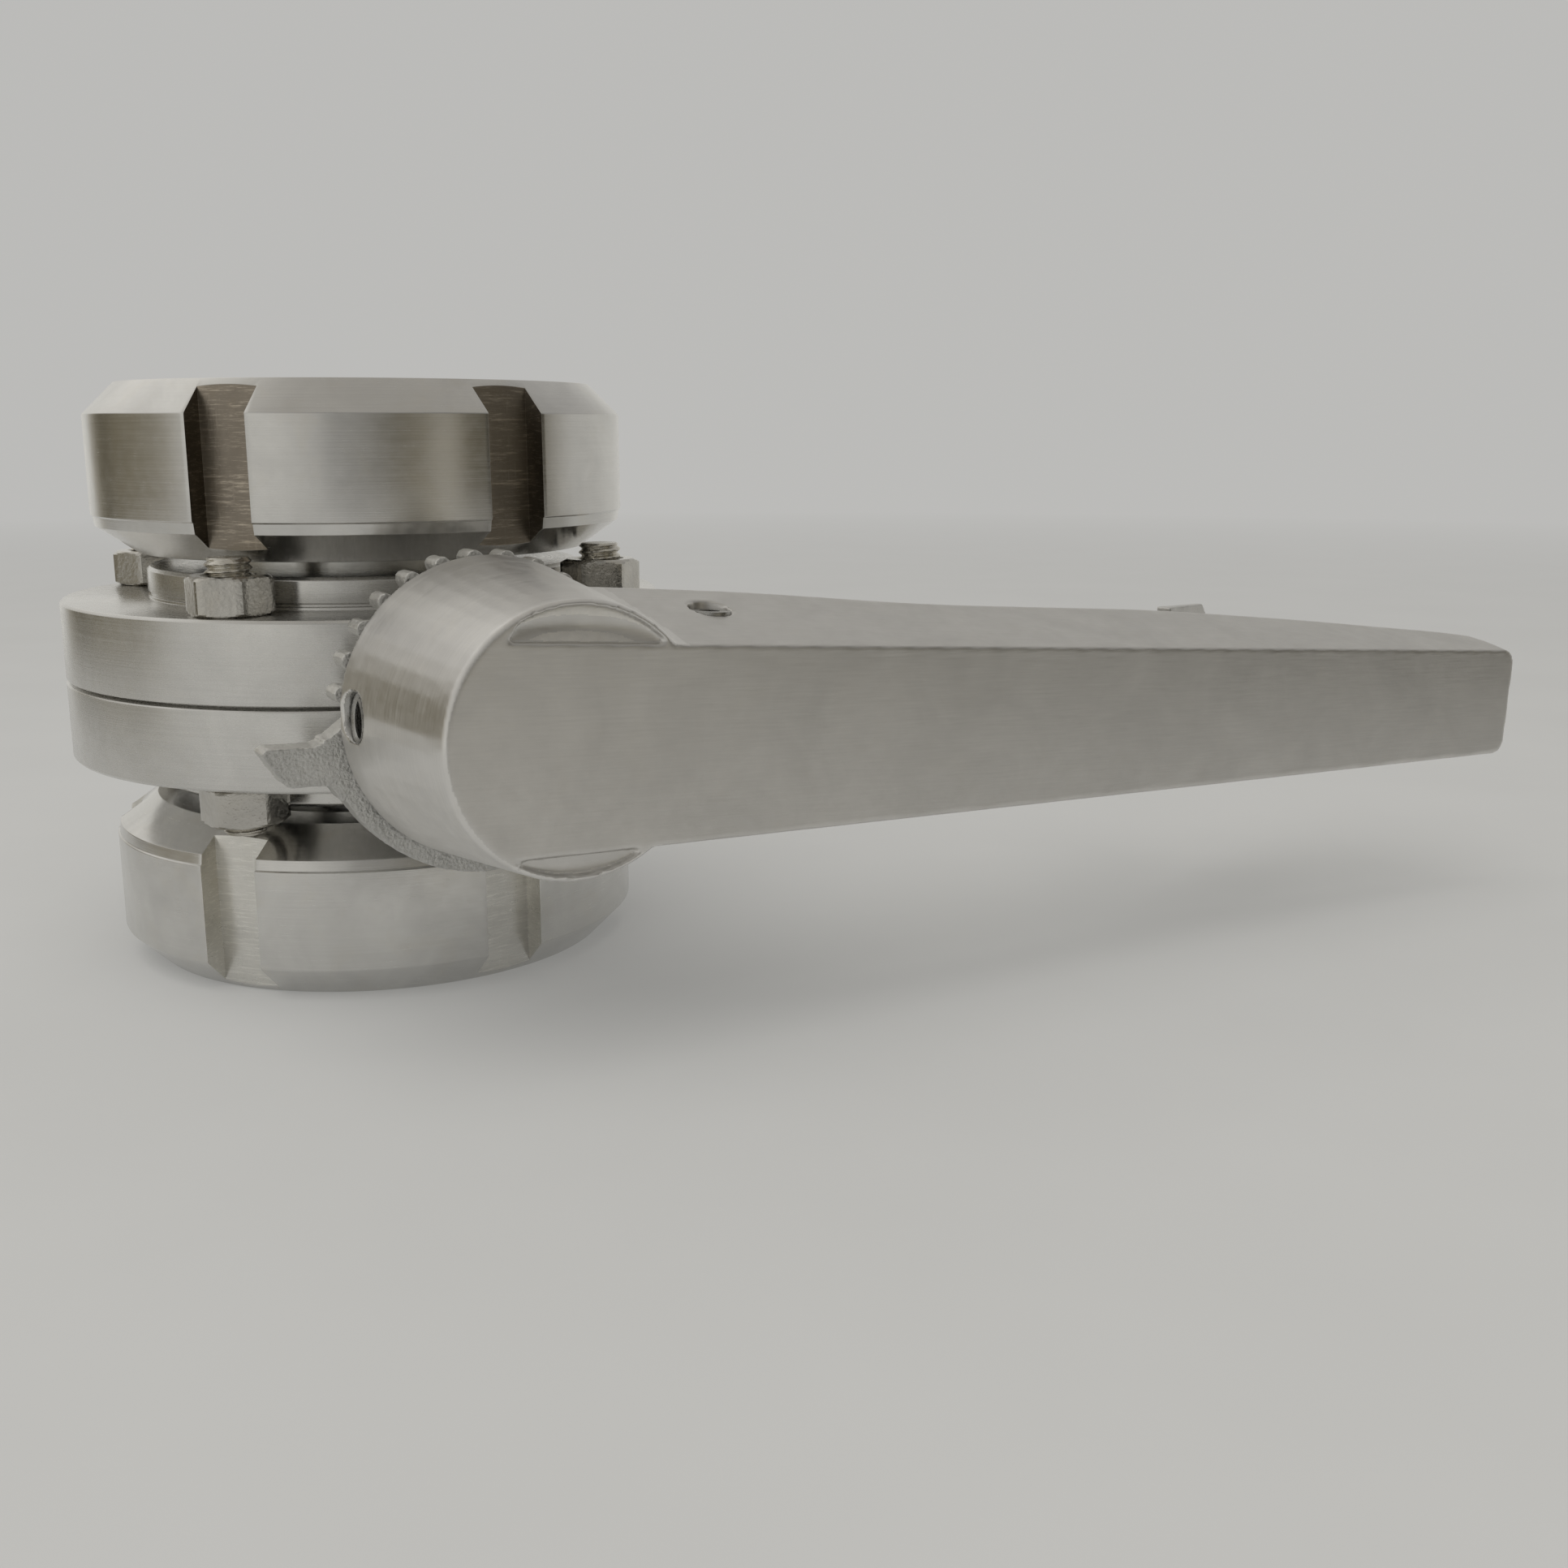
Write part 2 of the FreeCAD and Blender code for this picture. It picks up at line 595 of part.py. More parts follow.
def lever_wedge(x_start, x_end, y_front, y_back, inset=0):
    """Solid between the lever's two flared side planes."""
    corner = {}
    for i, x in enumerate((x_start, x_end)):
        for j, y in enumerate((y_front, y_back)):
            for k, side in enumerate((-1, 1)):
                corner[i, j, k] = Vector(x, y, MID_Z + side * (half_width(x, y) - inset))
    loops = (((0, 0, 0), (0, 0, 1), (0, 1, 1), (0, 1, 0)),
             ((1, 0, 0), (1, 0, 1), (1, 1, 1), (1, 1, 0)),
             ((0, 0, 0), (1, 0, 0), (1, 0, 1), (0, 0, 1)),
             ((0, 1, 0), (1, 1, 0), (1, 1, 1), (0, 1, 1)),
             ((0, 0, 0), (1, 0, 0), (1, 1, 0), (0, 1, 0)),
             ((0, 0, 1), (1, 0, 1), (1, 1, 1), (0, 1, 1)))
    faces = [closed_face([corner[key] for key in loop]) for loop in loops]
    solid = Part.makeSolid(Part.makeShell(faces))
    solid.fix(1e-6, 1e-6, 1e-6)
    if solid.Volume < 0:
        solid.reverse()
    return solid


def plan_lines(points):
    ends = [Vector(x, y, PLAN_Z) for x, y in points]
    return [Part.makeLine(start, end) for start, end in zip(ends, ends[1:])]


def extruded_plan(edges):
    return Part.Face(Part.Wire(edges)).extrude(Vector(0, 0, PLAN_HEIGHT))


def try_fillet(shape, chooser, radius):
    """Rounds the chosen edges, or leaves the shape as it is where they can't be rounded."""
    edges = [edge for edge in shape.Edges if chooser(edge)]
    if not edges:
        return shape
    # guards against a fillet that the kernel can't build on these edges
    try:
        out = shape.makeFillet(radius, edges)
        if out.isValid() and out.Solids and abs(out.Volume - shape.Volume) < 0.1 * shape.Volume:
            return out
    except Exception:
        pass
    return shape


def lever_blank():
    """Tapered bar with a straight front face and a smoothly curved back edge."""
    length = num("lever_len")
    curve = Part.BSplineCurve()
    curve.interpolate([Vector(x, y, PLAN_Z) for x, y in LEVER_BACK])
    tip = [(165.3, -69.6), (length - 0.25, -71.2), (length, -73.0), (length, FACE_Y)]
    lines = plan_lines([LEVER_BACK[-1]] + tip + [(LEVER_START, FACE_Y), LEVER_BACK[0]])
    plan = extruded_plan(Part.__sortEdges__([curve.toShape()] + lines))
    lever = plan.common(lever_wedge(WEDGE_START, WEDGE_END, FACE_Y, -50))

    def at_tip(edge):
        centre = edge.CenterOfMass
        rise = abs(edge.Vertexes[0].Y - edge.Vertexes[-1].Y)
        return centre.x > length - 1.6 and abs(centre.z - MID_Z) > 6.5 and rise > 0.5

    def at_back(edge):
        centre = edge.CenterOfMass
        run = abs(edge.Vertexes[0].X - edge.Vertexes[-1].X)
        return (centre.y > -70.5 and abs(centre.z - MID_Z) > 6.5
                and centre.x > 5 and run > 0.4)

    lever = try_fillet(lever, at_tip, 2.4)
    return try_fillet(lever, at_back, 1.4)


def hub_dish():
    """Bowl turned about the stem axis, kept clear of the lever."""
    radius, depth = num("dish_rad"), num("dish_depth")
    rim_y, open_y = FACE_Y - 0.3, FACE_Y - 6
    arc = Part.BSplineCurve()
    arc.interpolate([Vector(radius * math.cos(k * math.pi / 16),
                            rim_y + depth * math.sin(k * math.pi / 16), 0) for k in range(9)])
    bottom, rim = Vector(0, rim_y + depth, 0), Vector(radius, rim_y, 0)
    open_axis, open_rim = Vector(0, open_y, 0), Vector(radius, open_y, 0)
    bowl = Part.Wire([arc.toShape(), Part.makeLine(bottom, open_axis),
                      Part.makeLine(open_axis, open_rim), Part.makeLine(open_rim, rim)])
    dish = Part.Face(bowl).revolve(Vector(0, 0, 0), Vector(0, 1, 0), 360)
    if dish.Volume < 0:
        dish.reverse()
    clear_y = FACE_Y - 12
    dish = dish.cut(lever_wedge(WEDGE_START, 60, clear_y, -50))
    # the dish stops short of the lever's corner with a steep end
    for side in (1, -1):
        points = [Vector(x, clear_y, MID_Z * (1 - side) + side * z) for x, z in DISH_CORNER]
        dish = dish.cut(closed_face(points).extrude(Vector(0, 30, 0)))
    return dish


def lever_channel():
    """Hollow of the lever, open towards the valve."""
    x_start, x_end = num("channel_x"), num("channel_end")
    floor_y, open_y = FACE_Y + num("wall_front"), -40
    plan = extruded_plan(plan_lines([(x_start, floor_y), (x_end, floor_y), (x_end, open_y),
                                     (x_start, open_y), (x_start, floor_y)]))
    channel = plan.common(lever_wedge(WEDGE_START, WEDGE_END, FACE_Y, open_y,
                                      num("wall_side")))
    return try_fillet(channel, lambda edge: (abs(edge.CenterOfMass.y - floor_y) < 0.01
                                             and edge.Length > 60), 1.5)


def handle_casting():
    lever = lever_blank()
    back_y = -num("hub_back")
    forward = Vector(0, -1, 0)
    hub = Part.makeCone(num("hub_back_rad"), num("hub_front_rad"), back_y - FACE_Y,
                        Vector(0, back_y, 0), forward)
    hub = try_fillet(hub, lambda edge: (abs(edge.CenterOfMass.y - FACE_Y) < 0.01
                                        and edge.Length > 50), num("hub_edge"))
    hub = hub.cut(hub_dish())
    casting = hub.fuse(lever)
    casting = casting.cut(lever_channel())

    # square socket for the stem, with a round mouth
    half, socket_deep, mouth_y = num("drive_half") + num("stem_fit"), 23.0, back_y + 0.5
    casting = casting.cut(Part.makeBox(2 * half, socket_deep, 2 * half,
                                       Vector(-half, mouth_y - socket_deep, -half)))
    casting = casting.cut(Part.makeCylinder(num("stem_rad") + 0.2, 1.0,
                                            Vector(0, mouth_y, 0), forward))

    # grub screw hole through the -X side of the hub, with a flared mouth
    grub_rad, grub_y, outward = num("grub_rad"), -num("grub_y"), Vector(-1, 0, 0)
    hole = Part.makeCylinder(grub_rad, 24, Vector(-half + 0.5, grub_y, 0), outward)
    mouth = Part.makeCone(grub_rad, grub_rad + 0.8, 0.8, Vector(-18.55, grub_y, 0), outward)
    casting = casting.cut(hole).cut(mouth)

    # trigger pivot hole with head recess
    casting = casting.cut(Part.makeCylinder(num("pin_rad"), 60, Vector(PIVOT_X, PIVOT_Y, -30),
                                            Vector(0, 0, 1)))
    casting = casting.cut(Part.makeCylinder(num("pin_head"), 10,
                                            Vector(PIVOT_X, PIVOT_Y, HEAD_Z),
                                            Vector(0, 0, 1)))
    add_shape("handle_casting", casting, DROOP)


def trigger_pivot_screw():
    """Cap in the recess, shank through both side walls, hexagon socket on top."""
    low_z, up = PIVOT_LOW + 0.4, Vector(0, 0, 1)
    screw = Part.makeCylinder(num("pin_rad"), HEAD_Z - low_z,
                              Vector(PIVOT_X, PIVOT_Y, low_z), up)
    screw = screw.fuse(Part.makeCylinder(num("pin_head") - 0.12, 0.9,
                                         Vector(PIVOT_X, PIVOT_Y, HEAD_Z), up))
    corners = [polar(1.45, 60 * k) for k in range(6)]
    socket = closed_face([Vector(PIVOT_X + x, PIVOT_Y + y, HEAD_Z - 1.0)
                          for x, y in corners]).extrude(Vector(0, 0, 5))
    add_shape("trigger_pivot_screw", screw.cut(socket).removeSplitter(), DROOP)


def hub_grub_screw():
    """Clamps the hub on the stem's square; hexagon socket in its outer end."""
    inner, outer, grub_y = num("grub_in") + 0.1, num("grub_out"), -num("grub_y")
    grub = Part.makeCylinder(num("grub_rad") - 0.03, outer - inner,
                             Vector(-inner, grub_y, 0), Vector(-1, 0, 0))
    corners = [polar(1.7, 60 * k) for k in range(6)]
    socket = closed_face([Vector(-outer + 2.6, grub_y + y, z)
                          for y, z in corners]).extrude(Vector(-5, 0, 0))
    add_shape("hub_grub_screw", grub.cut(socket), DROOP)


# ------------------------------------------------------------- trigger lever
# Outlines in plan, as (x, y). The tail and the wider tab share the finger end.
FINGER_END = [(116, -48.9), (124, -45.1), (131.0, -41.9), (131.3, -41.1), (130.6, -40.5),
              (123.3, -43.5)]
ARM_MIDDLE = [(60, -64.2), (80, -61.4), (98, -56.6), (107, -52.8), (107, -49.9),
              (97.0, -54.0), (79, -58.8), (60, -61.4)]
TAIL_OUTLINE = ([(103, -54.5), (107, -52.8)] + FINGER_END
                + [(114.5, -46.5), (105, -50.7), (102.2, -51.9)])
TAB_OUTLINE = [(115.6, -49.07)] + FINGER_END + [(115.4, -46.2)]


# Bent plate inside the lever's channel. Its nose drops between two teeth of the
# index plate; its tail comes out of the channel's back for the fingers.
def trigger_lever():
    body = new_body("trigger_lever")
    pivot_x, pivot_y = dim("pivot_x"), -dim("pivot_y")
    nose = dim("nose_x")

    def pad_plan(name, points, half):
        sketch = outline_sketch(body, "trigger_" + name, "XY_Plane", points)
        pad(body, "trigger_%s_pad" % name, sketch, 2 * half, mid=True)

    pad_plan("arm", [(pivot_x + 1.5, pivot_y - 2.4), (pivot_x + 12, pivot_y - 1.4)]
             + ARM_MIDDLE + [(pivot_x + 12, pivot_y + 1.6), (pivot_x + 1.5, pivot_y + 2.4)],
             dim("arm_half"))
    pad_plan("tail", TAIL_OUTLINE, dim("tail_half"))
    pad_plan("tab", TAB_OUTLINE, dim("tab_half"))
    # the tab's two outer corners are cut off
    inner, outer = dim("tab_half") - 2.6, dim("tab_half") + 0.6
    for corner, side in (("top", 1), ("low", -1)):
        sketch = outline_sketch(body, "trigger_corner_" + corner, "XZ_Plane", mirrored(
            [(131.9, inner), (131.9, outer), (128.7, outer)], side))
        pocket(body, "trigger_corner_cut_" + corner, sketch, 200, mid=True)
    sketch = circle_sketch(body, "trigger_boss", "XY_Plane", dim("pivot_boss_rad"),
                           centre=(pivot_x, pivot_y))
    pad(body, "trigger_boss_pad", sketch, 2 * dim("pivot_boss_half"), mid=True)
    pad_plan("web", [(nose - 0.2, pivot_y), (pivot_x + 3.6, pivot_y), (pivot_x + 3.6, -54.5),
                     (pivot_x + 2.2, -52.5), (nose, -52.5)], dim("web_half"))
    pad_plan("nose", [(nose, -54.0), (pivot_x + 2.0, -54.0), (pivot_x + 2.0, -45.6),
                      (pivot_x + 1.2, -44.7), (nose + 0.5, -44.7), (nose, -45.2)],
             dim("nose_half"))
    sketch = circle_sketch(body, "trigger_hole", "XY_Plane", dim("pin_rad") + dim("stem_fit"),
                           centre=(pivot_x, pivot_y))
    pocket(body, "trigger_bore", sketch, 40, mid=True)
    turn_body(body, Vector(0, 1, 0), "droop_deg")


def trigger_spring():
    """Coil between the channel floor and the trigger's arm."""
    turns, back, wire = 4.5, num("spring_back"), num("wire_rad")
    height = num("spring_front") - back - 2 * wire
    helix = Part.makeHelix(height / turns, height, num("coil_rad"))
    section = Part.Circle(Vector(num("coil_rad"), 0, 0), Vector(0, 1, 0), wire)
    profile = Part.Wire([section.toShape()])
    coil = Part.Wire(helix.Edges).makePipeShell([profile], True, True)
    stand = Placement(Vector(num("spring_x"), -back - wire, 0), Rotation(Vector(1, 0, 0), 90))
    add_shape("trigger_spring", coil, DROOP.multiply(stand))


# --------------------------------------------------------------------- build
body_half("upper_body_half", 1)
body_half("lower_body_half", -1)
seat_ring()
liner("upper_liner", 1)
liner("lower_liner", -1)
union_nut("upper_union_nut", 1, "upper_phase")
union_nut("lower_union_nut", -1, "lower_phase")
valve_disc()
drive_stem()
rear_trunnion()
stem_bush("front_stem_bush", dim("bush_in"), dim("bush_front"))
stem_bush("rear_stem_bush", -dim("bush_rear"), -dim("bush_in"))
oring("front_stem_o_ring", -1)
oring("rear_stem_o_ring", 1)
index_plate()
nuts_and_studs()
handle_casting()
trigger_pivot_screw()
hub_grub_screw()
trigger_lever()
trigger_spring()

# ---------------------------------------------------------- check and export
doc.recompute()
bad = ["%s %s" % (item.Name, item.State) for item in doc.Objects
       if "Invalid" in item.State or "Error" in item.State]
bad += [part.Label + " has no valid solid" for part in PARTS
        if part.Shape.isNull() or not part.Shape.isValid() or not part.Shape.Solids]
if bad:
    raise SystemExit("\n".join(bad))
for part in PARTS:
    part.Shape.exportStep("parts/%s.step" % part.Label)
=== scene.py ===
# A butterfly valve with a union nut at each end and a lever handle with a trigger.
# The flow axis is Z and the stem lies on Y, with the handle hub on the -Y side. The lever
# points to +X and droops a little. Shapes are in millimetres; the stage is in metres.
import bpy
import bmesh
import math
import numpy as np
from mathutils import Vector, Matrix, noise


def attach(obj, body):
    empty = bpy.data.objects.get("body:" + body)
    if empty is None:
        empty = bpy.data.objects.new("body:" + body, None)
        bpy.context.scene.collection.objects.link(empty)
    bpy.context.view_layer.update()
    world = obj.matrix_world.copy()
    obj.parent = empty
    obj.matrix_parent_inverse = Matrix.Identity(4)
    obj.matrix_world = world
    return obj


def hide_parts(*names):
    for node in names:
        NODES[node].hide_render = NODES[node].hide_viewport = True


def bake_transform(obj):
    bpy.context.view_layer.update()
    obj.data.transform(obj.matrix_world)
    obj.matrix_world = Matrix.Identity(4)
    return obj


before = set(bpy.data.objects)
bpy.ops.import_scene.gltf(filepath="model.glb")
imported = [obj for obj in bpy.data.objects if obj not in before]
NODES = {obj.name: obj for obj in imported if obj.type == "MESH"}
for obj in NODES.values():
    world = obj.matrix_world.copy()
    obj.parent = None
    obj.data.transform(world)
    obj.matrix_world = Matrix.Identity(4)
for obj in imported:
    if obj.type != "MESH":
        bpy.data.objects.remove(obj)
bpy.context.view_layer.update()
scene = bpy.context.scene
coll = scene.collection

MM = 0.001
DROOP = math.radians(3.0)                 # of the handle and index plate, about Y
COS_DROOP, SIN_DROOP = math.cos(DROOP), math.sin(DROOP)

# dimensions shared by several pieces
BORE_RADIUS = 19.0
SOCKET_RADIUS = 22.0                      # the liners fit in this bore of the body
LINER_START = 9.0                         # height above the mid plane
FLANGE_TOP = 11.1
BOLT_CIRCLE = 36.8                        # radius to the four studs
GRUB_Y = -52.6                            # grub screw hole in the hub
GRUB_RADIUS = 3.0
HUB_INNER_Y, HUB_OUTER_Y = -48.8, -76.6
LEVER_MID_Z = -0.9


def to_lever(x, z):
    """Row x and z turned into the drooping lever's own x and z."""
    return x * COS_DROOP - z * SIN_DROOP, x * SIN_DROOP + z * COS_DROOP


def from_lever(x, y, z):
    return (x * COS_DROOP + z * SIN_DROOP, y, -x * SIN_DROOP + z * COS_DROOP)


# =====================================================================
# shader node helpers
# =====================================================================
class Nodes:
    """Fills an emptied node tree. Every input takes either a value or a socket."""

    def __init__(self, tree):
        self.tree = tree
        tree.nodes.clear()

    def put(self, socket, value):
        if isinstance(value, bpy.types.NodeSocket):
            self.tree.links.new(value, socket)
        else:
            socket.default_value = value

    def node(self, kind, inputs=None, **settings):
        made = self.tree.nodes.new(kind)
        for key, value in settings.items():
            setattr(made, key, value)
        for key, value in (inputs or {}).items():
            self.put(made.inputs[key], value)
        return made

    def math(self, operation, a, b=0.0):
        return self.node("ShaderNodeMath", {0: a, 1: b, 2: 0.0}, operation=operation).outputs[0]

    def vector(self, x, y, z):
        return self.node("ShaderNodeCombineXYZ", {0: x, 1: y, 2: z}).outputs[0]

    def split(self, vector):
        return self.node("ShaderNodeSeparateXYZ", {0: vector}).outputs[:3]

    def stretch(self, coords, factors):
        """Vector of coordinates times factors; None leaves a coordinate as it is."""
        return self.vector(*(c if f is None else self.math("MULTIPLY", c, f)
                             for c, f in zip(coords, factors)))

    def position_mm(self):
        coords = self.node("ShaderNodeTexCoord")
        return self.node("ShaderNodeVectorMath", {0: coords.outputs["Object"], "Scale": 1000.0},
                         operation="SCALE").outputs[0]

    def noise(self, point, scale=1.0, detail=3.0, rough=0.6, distortion=0.0):
        return self.node("ShaderNodeTexNoise", {
            "Vector": point, "Scale": scale, "Detail": detail, "Roughness": rough,
            "Distortion": distortion}).outputs["Fac"]

    def remap(self, value, source, target=(0.0, 1.0), interpolation="LINEAR"):
        return self.node("ShaderNodeMapRange", {
            "Value": value, "From Min": source[0], "From Max": source[1],
            "To Min": target[0], "To Max": target[1]},
            clamp=True, interpolation_type=interpolation).outputs["Result"]

    def mix(self, factor, a, b, mode="MIX"):
        return self.node("ShaderNodeMix", {"Factor": factor, 6: a, 7: b},
                         data_type="RGBA", blend_type=mode).outputs[2]

    def bump(self, height, distance_mm, normal=None):
        made = self.node("ShaderNodeBump", {
            "Strength": 1.0, "Distance": distance_mm * MM, "Height": height})
        if normal is not None:
            self.put(made.inputs["Normal"], normal)
        return made.outputs[0]

    def mix_shader(self, factor, a, b):
        return self.node("ShaderNodeMixShader", {0: factor, 1: a, 2: b}).outputs[0]


class Material(Nodes):
    def __init__(self, name):
        self.material = bpy.data.materials.new(name)
        self.material.use_nodes = True
        super().__init__(self.material.node_tree)

    def finish(self, shader):
        self.node("ShaderNodeOutputMaterial", {0: shader})
        return self.material


# =====================================================================
# materials
# =====================================================================
def scaled(color, factor):
    return tuple(min(1, c * factor) for c in color) + (1,)


def cylinder_coords(mat, point, axis):
    """Angle round the axis, distance along it and distance from it."""
    x, y, z = mat.split(point)
    u, w, along = (x, y, z) if axis == "Z" else (x, z, y)
    radius = mat.math("SQRT", mat.math("ADD", mat.math("MULTIPLY", u, u),
                                       mat.math("MULTIPLY", w, w)))
    return mat.math("ARCTAN2", w, u), along, radius


def steel(name, finish, color, rough, aniso, lines, line_height, mottle, warm, grain):
    """Steel with one of five finishes; the columns of STEELS explain the arguments."""
    mat = Material(name)
    point = mat.position_mm()
    tangent = None
    if finish == "cast":
        fine = mat.noise(point, lines, detail=4.0)
        broad = mat.noise(point, lines * 0.25)
    elif finish == "brushed":
        x, y, z = mat.split(point)
        along = mat.math("SUBTRACT", mat.math("MULTIPLY", x, COS_DROOP),
                         mat.math("MULTIPLY", z, SIN_DROOP))
        across = mat.math("ADD", mat.math("MULTIPLY", x, SIN_DROOP),
                          mat.math("MULTIPLY", z, COS_DROOP))
        coords = (along, y, across)
        fine = mat.noise(mat.stretch(coords, (0.16, lines, lines)), detail=5.0, rough=0.65)
        broad = mat.noise(mat.stretch(coords, (0.05, lines * 0.2, lines * 0.2)))
        tangent = mat.node("ShaderNodeVectorTransform", {0: (COS_DROOP, 0, -SIN_DROOP)},
                           vector_type="VECTOR", convert_from="OBJECT", convert_to="WORLD")
    else:
        axis = "Y" if finish == "turned_y" else "Z"
        coords = angle, along, radius = cylinder_coords(mat, point, axis)
        if finish == "milled":
            fine = mat.noise(mat.stretch(coords, (9.0, lines, 1.0)), detail=6.0, rough=0.75)
            broad = mat.noise(mat.stretch(coords, (30.0, 0.25, None)), detail=4.0)
        else:
            fine = mat.noise(mat.stretch(coords, (2.6, lines, lines)), detail=5.0, rough=0.65)
            broad = mat.noise(mat.stretch(coords, (1.1, lines * 0.23, lines * 0.23)))
        tangent = mat.node("ShaderNodeTangent", direction_type="RADIAL", axis=axis)

    # centimetre-size polish variation, then streaks along the finish
    patch = mat.noise(point, 0.09, detail=4.0, distortion=0.8)
    spots = mat.noise(point, 0.55)
    base = mat.mix(mat.remap(patch, (0.3, 0.7)), tuple(c * (1 - mottle) for c in color) + (1,),
                   scaled(color, 1 + mottle))
    streak = mat.remap(fine, (0.25, 0.75), (0.93, 1.04))
    base = mat.mix(1.0, base, mat.vector(streak, streak, streak), "MULTIPLY")
    if warm:
        tint = mat.remap(mat.noise(point, 0.16, distortion=1.2), (0.52, 0.75), (0.0, warm))
        base = mat.mix(tint, base, (color[0] * 0.98, color[1] * 0.93, color[2] * 0.82, 1))
    if finish == "milled":                # fine bright scratches left by the cutter
        short = mat.noise(mat.stretch(coords, (7.0, 3.1, 0.6)), detail=8.0, rough=0.82)
        long = mat.noise(mat.stretch((angle, along, 3.0), (60.0, 0.12, None)),
                         detail=5.0, rough=0.7)
        short = mat.math("MULTIPLY", mat.remap(short, (0.52, 0.62)), 0.85)
        long = mat.math("MULTIPLY", mat.remap(long, (0.60, 0.70)), 0.35)
        gain = 2.2 if color[0] < 0.5 else 1.25     # slots darkened as painted shade need a stronger contrast
        base = mat.mix(mat.math("MAXIMUM", short, long), base, scaled(color, gain))

    roughness = mat.math("ADD", mat.remap(fine, (0.3, 0.7), (rough - 0.045, rough + 0.045)),
                         mat.remap(spots, (0.35, 0.7), (-0.02, 0.04)))
    normal = mat.bump(mat.math("ADD", fine, mat.math("MULTIPLY", broad, 0.8)), line_height)
    if grain:
        sand = mat.noise(point, 2.6, detail=5.0, rough=0.7)
        cells = mat.node("ShaderNodeTexVoronoi", {"Vector": point, "Scale": 2.1})
        cells = mat.math("MULTIPLY", cells.outputs["Distance"], 0.6)
        normal = mat.bump(mat.math("ADD", sand, cells), grain, normal)
    shader = mat.node("ShaderNodeBsdfPrincipled", {
        "Base Color": base, "Metallic": 1.0, "Roughness": roughness,
        "Anisotropic": aniso, "Normal": normal})
    if tangent:
        mat.put(shader.inputs["Tangent"], tangent.outputs[0])
        shader.inputs["Anisotropic Rotation"].default_value = 0.25
    return mat.finish(shader.outputs[0])


def polymer(name, color, rough):
    """Elastomer or plastic with faint moulding texture and uneven sheen."""
    mat = Material(name)
    point = mat.position_mm()
    texture = mat.noise(point, 1.2, detail=4.0)
    patch = mat.noise(point, 1.2 * 0.15)
    base = mat.mix(mat.remap(patch, (0.3, 0.7)), scaled(color, 0.85), scaled(color, 1.12))
    shader = mat.node("ShaderNodeBsdfPrincipled", {
        "Base Color": base,
        "Roughness": mat.remap(texture, (0.3, 0.7), (rough - 0.06, rough + 0.06)),
        "Normal": mat.bump(texture, distance_mm=0.02)})
    return mat.finish(shader.outputs[0])


PLAIN_STEEL = (0.66, 0.652, 0.63)
# Finishes: turned_z and turned_y have lines round that axis, milled has scratched lines round
# Z, brushed has lines along the lever, cast has no direction.
# name, finish, colour, roughness, anisotropy, line noise scale (per mm), line height (mm),
# brightness variation, strength of warm patches, blasted grain height (mm)
STEELS = (
    ("flange_turned", "turned_z", PLAIN_STEEL, 0.26, 0.75, 5.5, 0.010, 0.06, 0.10, 0),
    ("union_nut_turned", "turned_z", PLAIN_STEEL, 0.21, 0.72, 8.0, 0.006, 0.07, 0.22, 0),
    # painted shade: a darker copy of the milled slot finish for the upper nut's slot floors
    ("milled_slot_painted_shade", "milled", (0.285, 0.25, 0.205), 0.34, 0.4, 5.0, 0.034, 0.14, 0.35, 0),
    ("milled_slot", "milled", (0.72, 0.708, 0.668), 0.30, 0.4, 3.0, 0.012, 0.08, 0.15, 0),
    # painted shade: a darker copy of the slot wall finish for the upper nut
    ("slot_wall_painted_shade", "milled", (0.15, 0.133, 0.108), 0.34, 0.3, 5.0, 0.02, 0.2, 0.3, 0),
    ("slot_wall", "milled", (0.70, 0.685, 0.64), 0.30, 0.4, 3.0, 0.012, 0.1, 0.15, 0),
    ("liner_turned", "turned_z", (0.70, 0.695, 0.67), 0.18, 0.6, 9.0, 0.004, 0.04, 0.15, 0),
    ("thread_cut", "turned_z", (0.62, 0.61, 0.58), 0.26, 0.3, 9.0, 0.006, 0.05, 0, 0),
    ("disc_polished", "cast", (0.68, 0.68, 0.66), 0.14, 0.0, 3.0, 0.003, 0.05, 0, 0),
    ("stem_ground", "turned_y", (0.66, 0.66, 0.64), 0.2, 0.5, 9.0, 0.004, 0.05, 0, 0),
    ("fastener_steel", "cast", (0.52, 0.505, 0.47), 0.11, 0.0, 1.6, 0.055, 0.14, 0.25, 0),
    ("lever_brushed", "brushed", (0.705, 0.693, 0.668), 0.38, 0.6, 3.2, 0.010, 0.05, 0.06, 0),
    ("hub_brushed", "turned_y", (0.785, 0.773, 0.748), 0.35, 0.72, 3.4, 0.012, 0.05, 0.08, 0),
    ("cast_blasted", "cast", (0.69, 0.685, 0.662), 0.37, 0.0, 3.2, 0.06, 0.12, 0, 0.26),
    # painted light: a lighter copy of the blasted finish for the index plate's upward faces
    ("cast_painted_top_light", "cast", (0.93, 0.92, 0.89), 0.42, 0.0, 3.2, 0.04, 0.08, 0, 0.12),
    # painted light: a lighter finish for the handle's dished zones
    ("dish_painted_light", "cast", (0.83, 0.813, 0.77), 0.50, 0.0, 1.2, 0.03, 0.07, 0.15, 0),
    ("cast_fine", "cast", (0.62, 0.61, 0.59), 0.40, 0.0, 2.8, 0.03, 0.08, 0, 0.04),
    ("stud_thread", "cast", (0.66, 0.635, 0.58), 0.24, 0.0, 2.6, 0.02, 0.15, 0.3, 0),
    # the screws' own dark finish; also paints shade on the grub hole's wall and thread
    ("screw_dark_and_hole_shade", "cast", (0.42, 0.415, 0.40), 0.28, 0.0, 3.0, 0.02, 0.12, 0, 0),
    ("spring_wire", "cast", (0.5, 0.5, 0.49), 0.26, 0.0, 3.0, 0.01, 0.05, 0, 0),
)
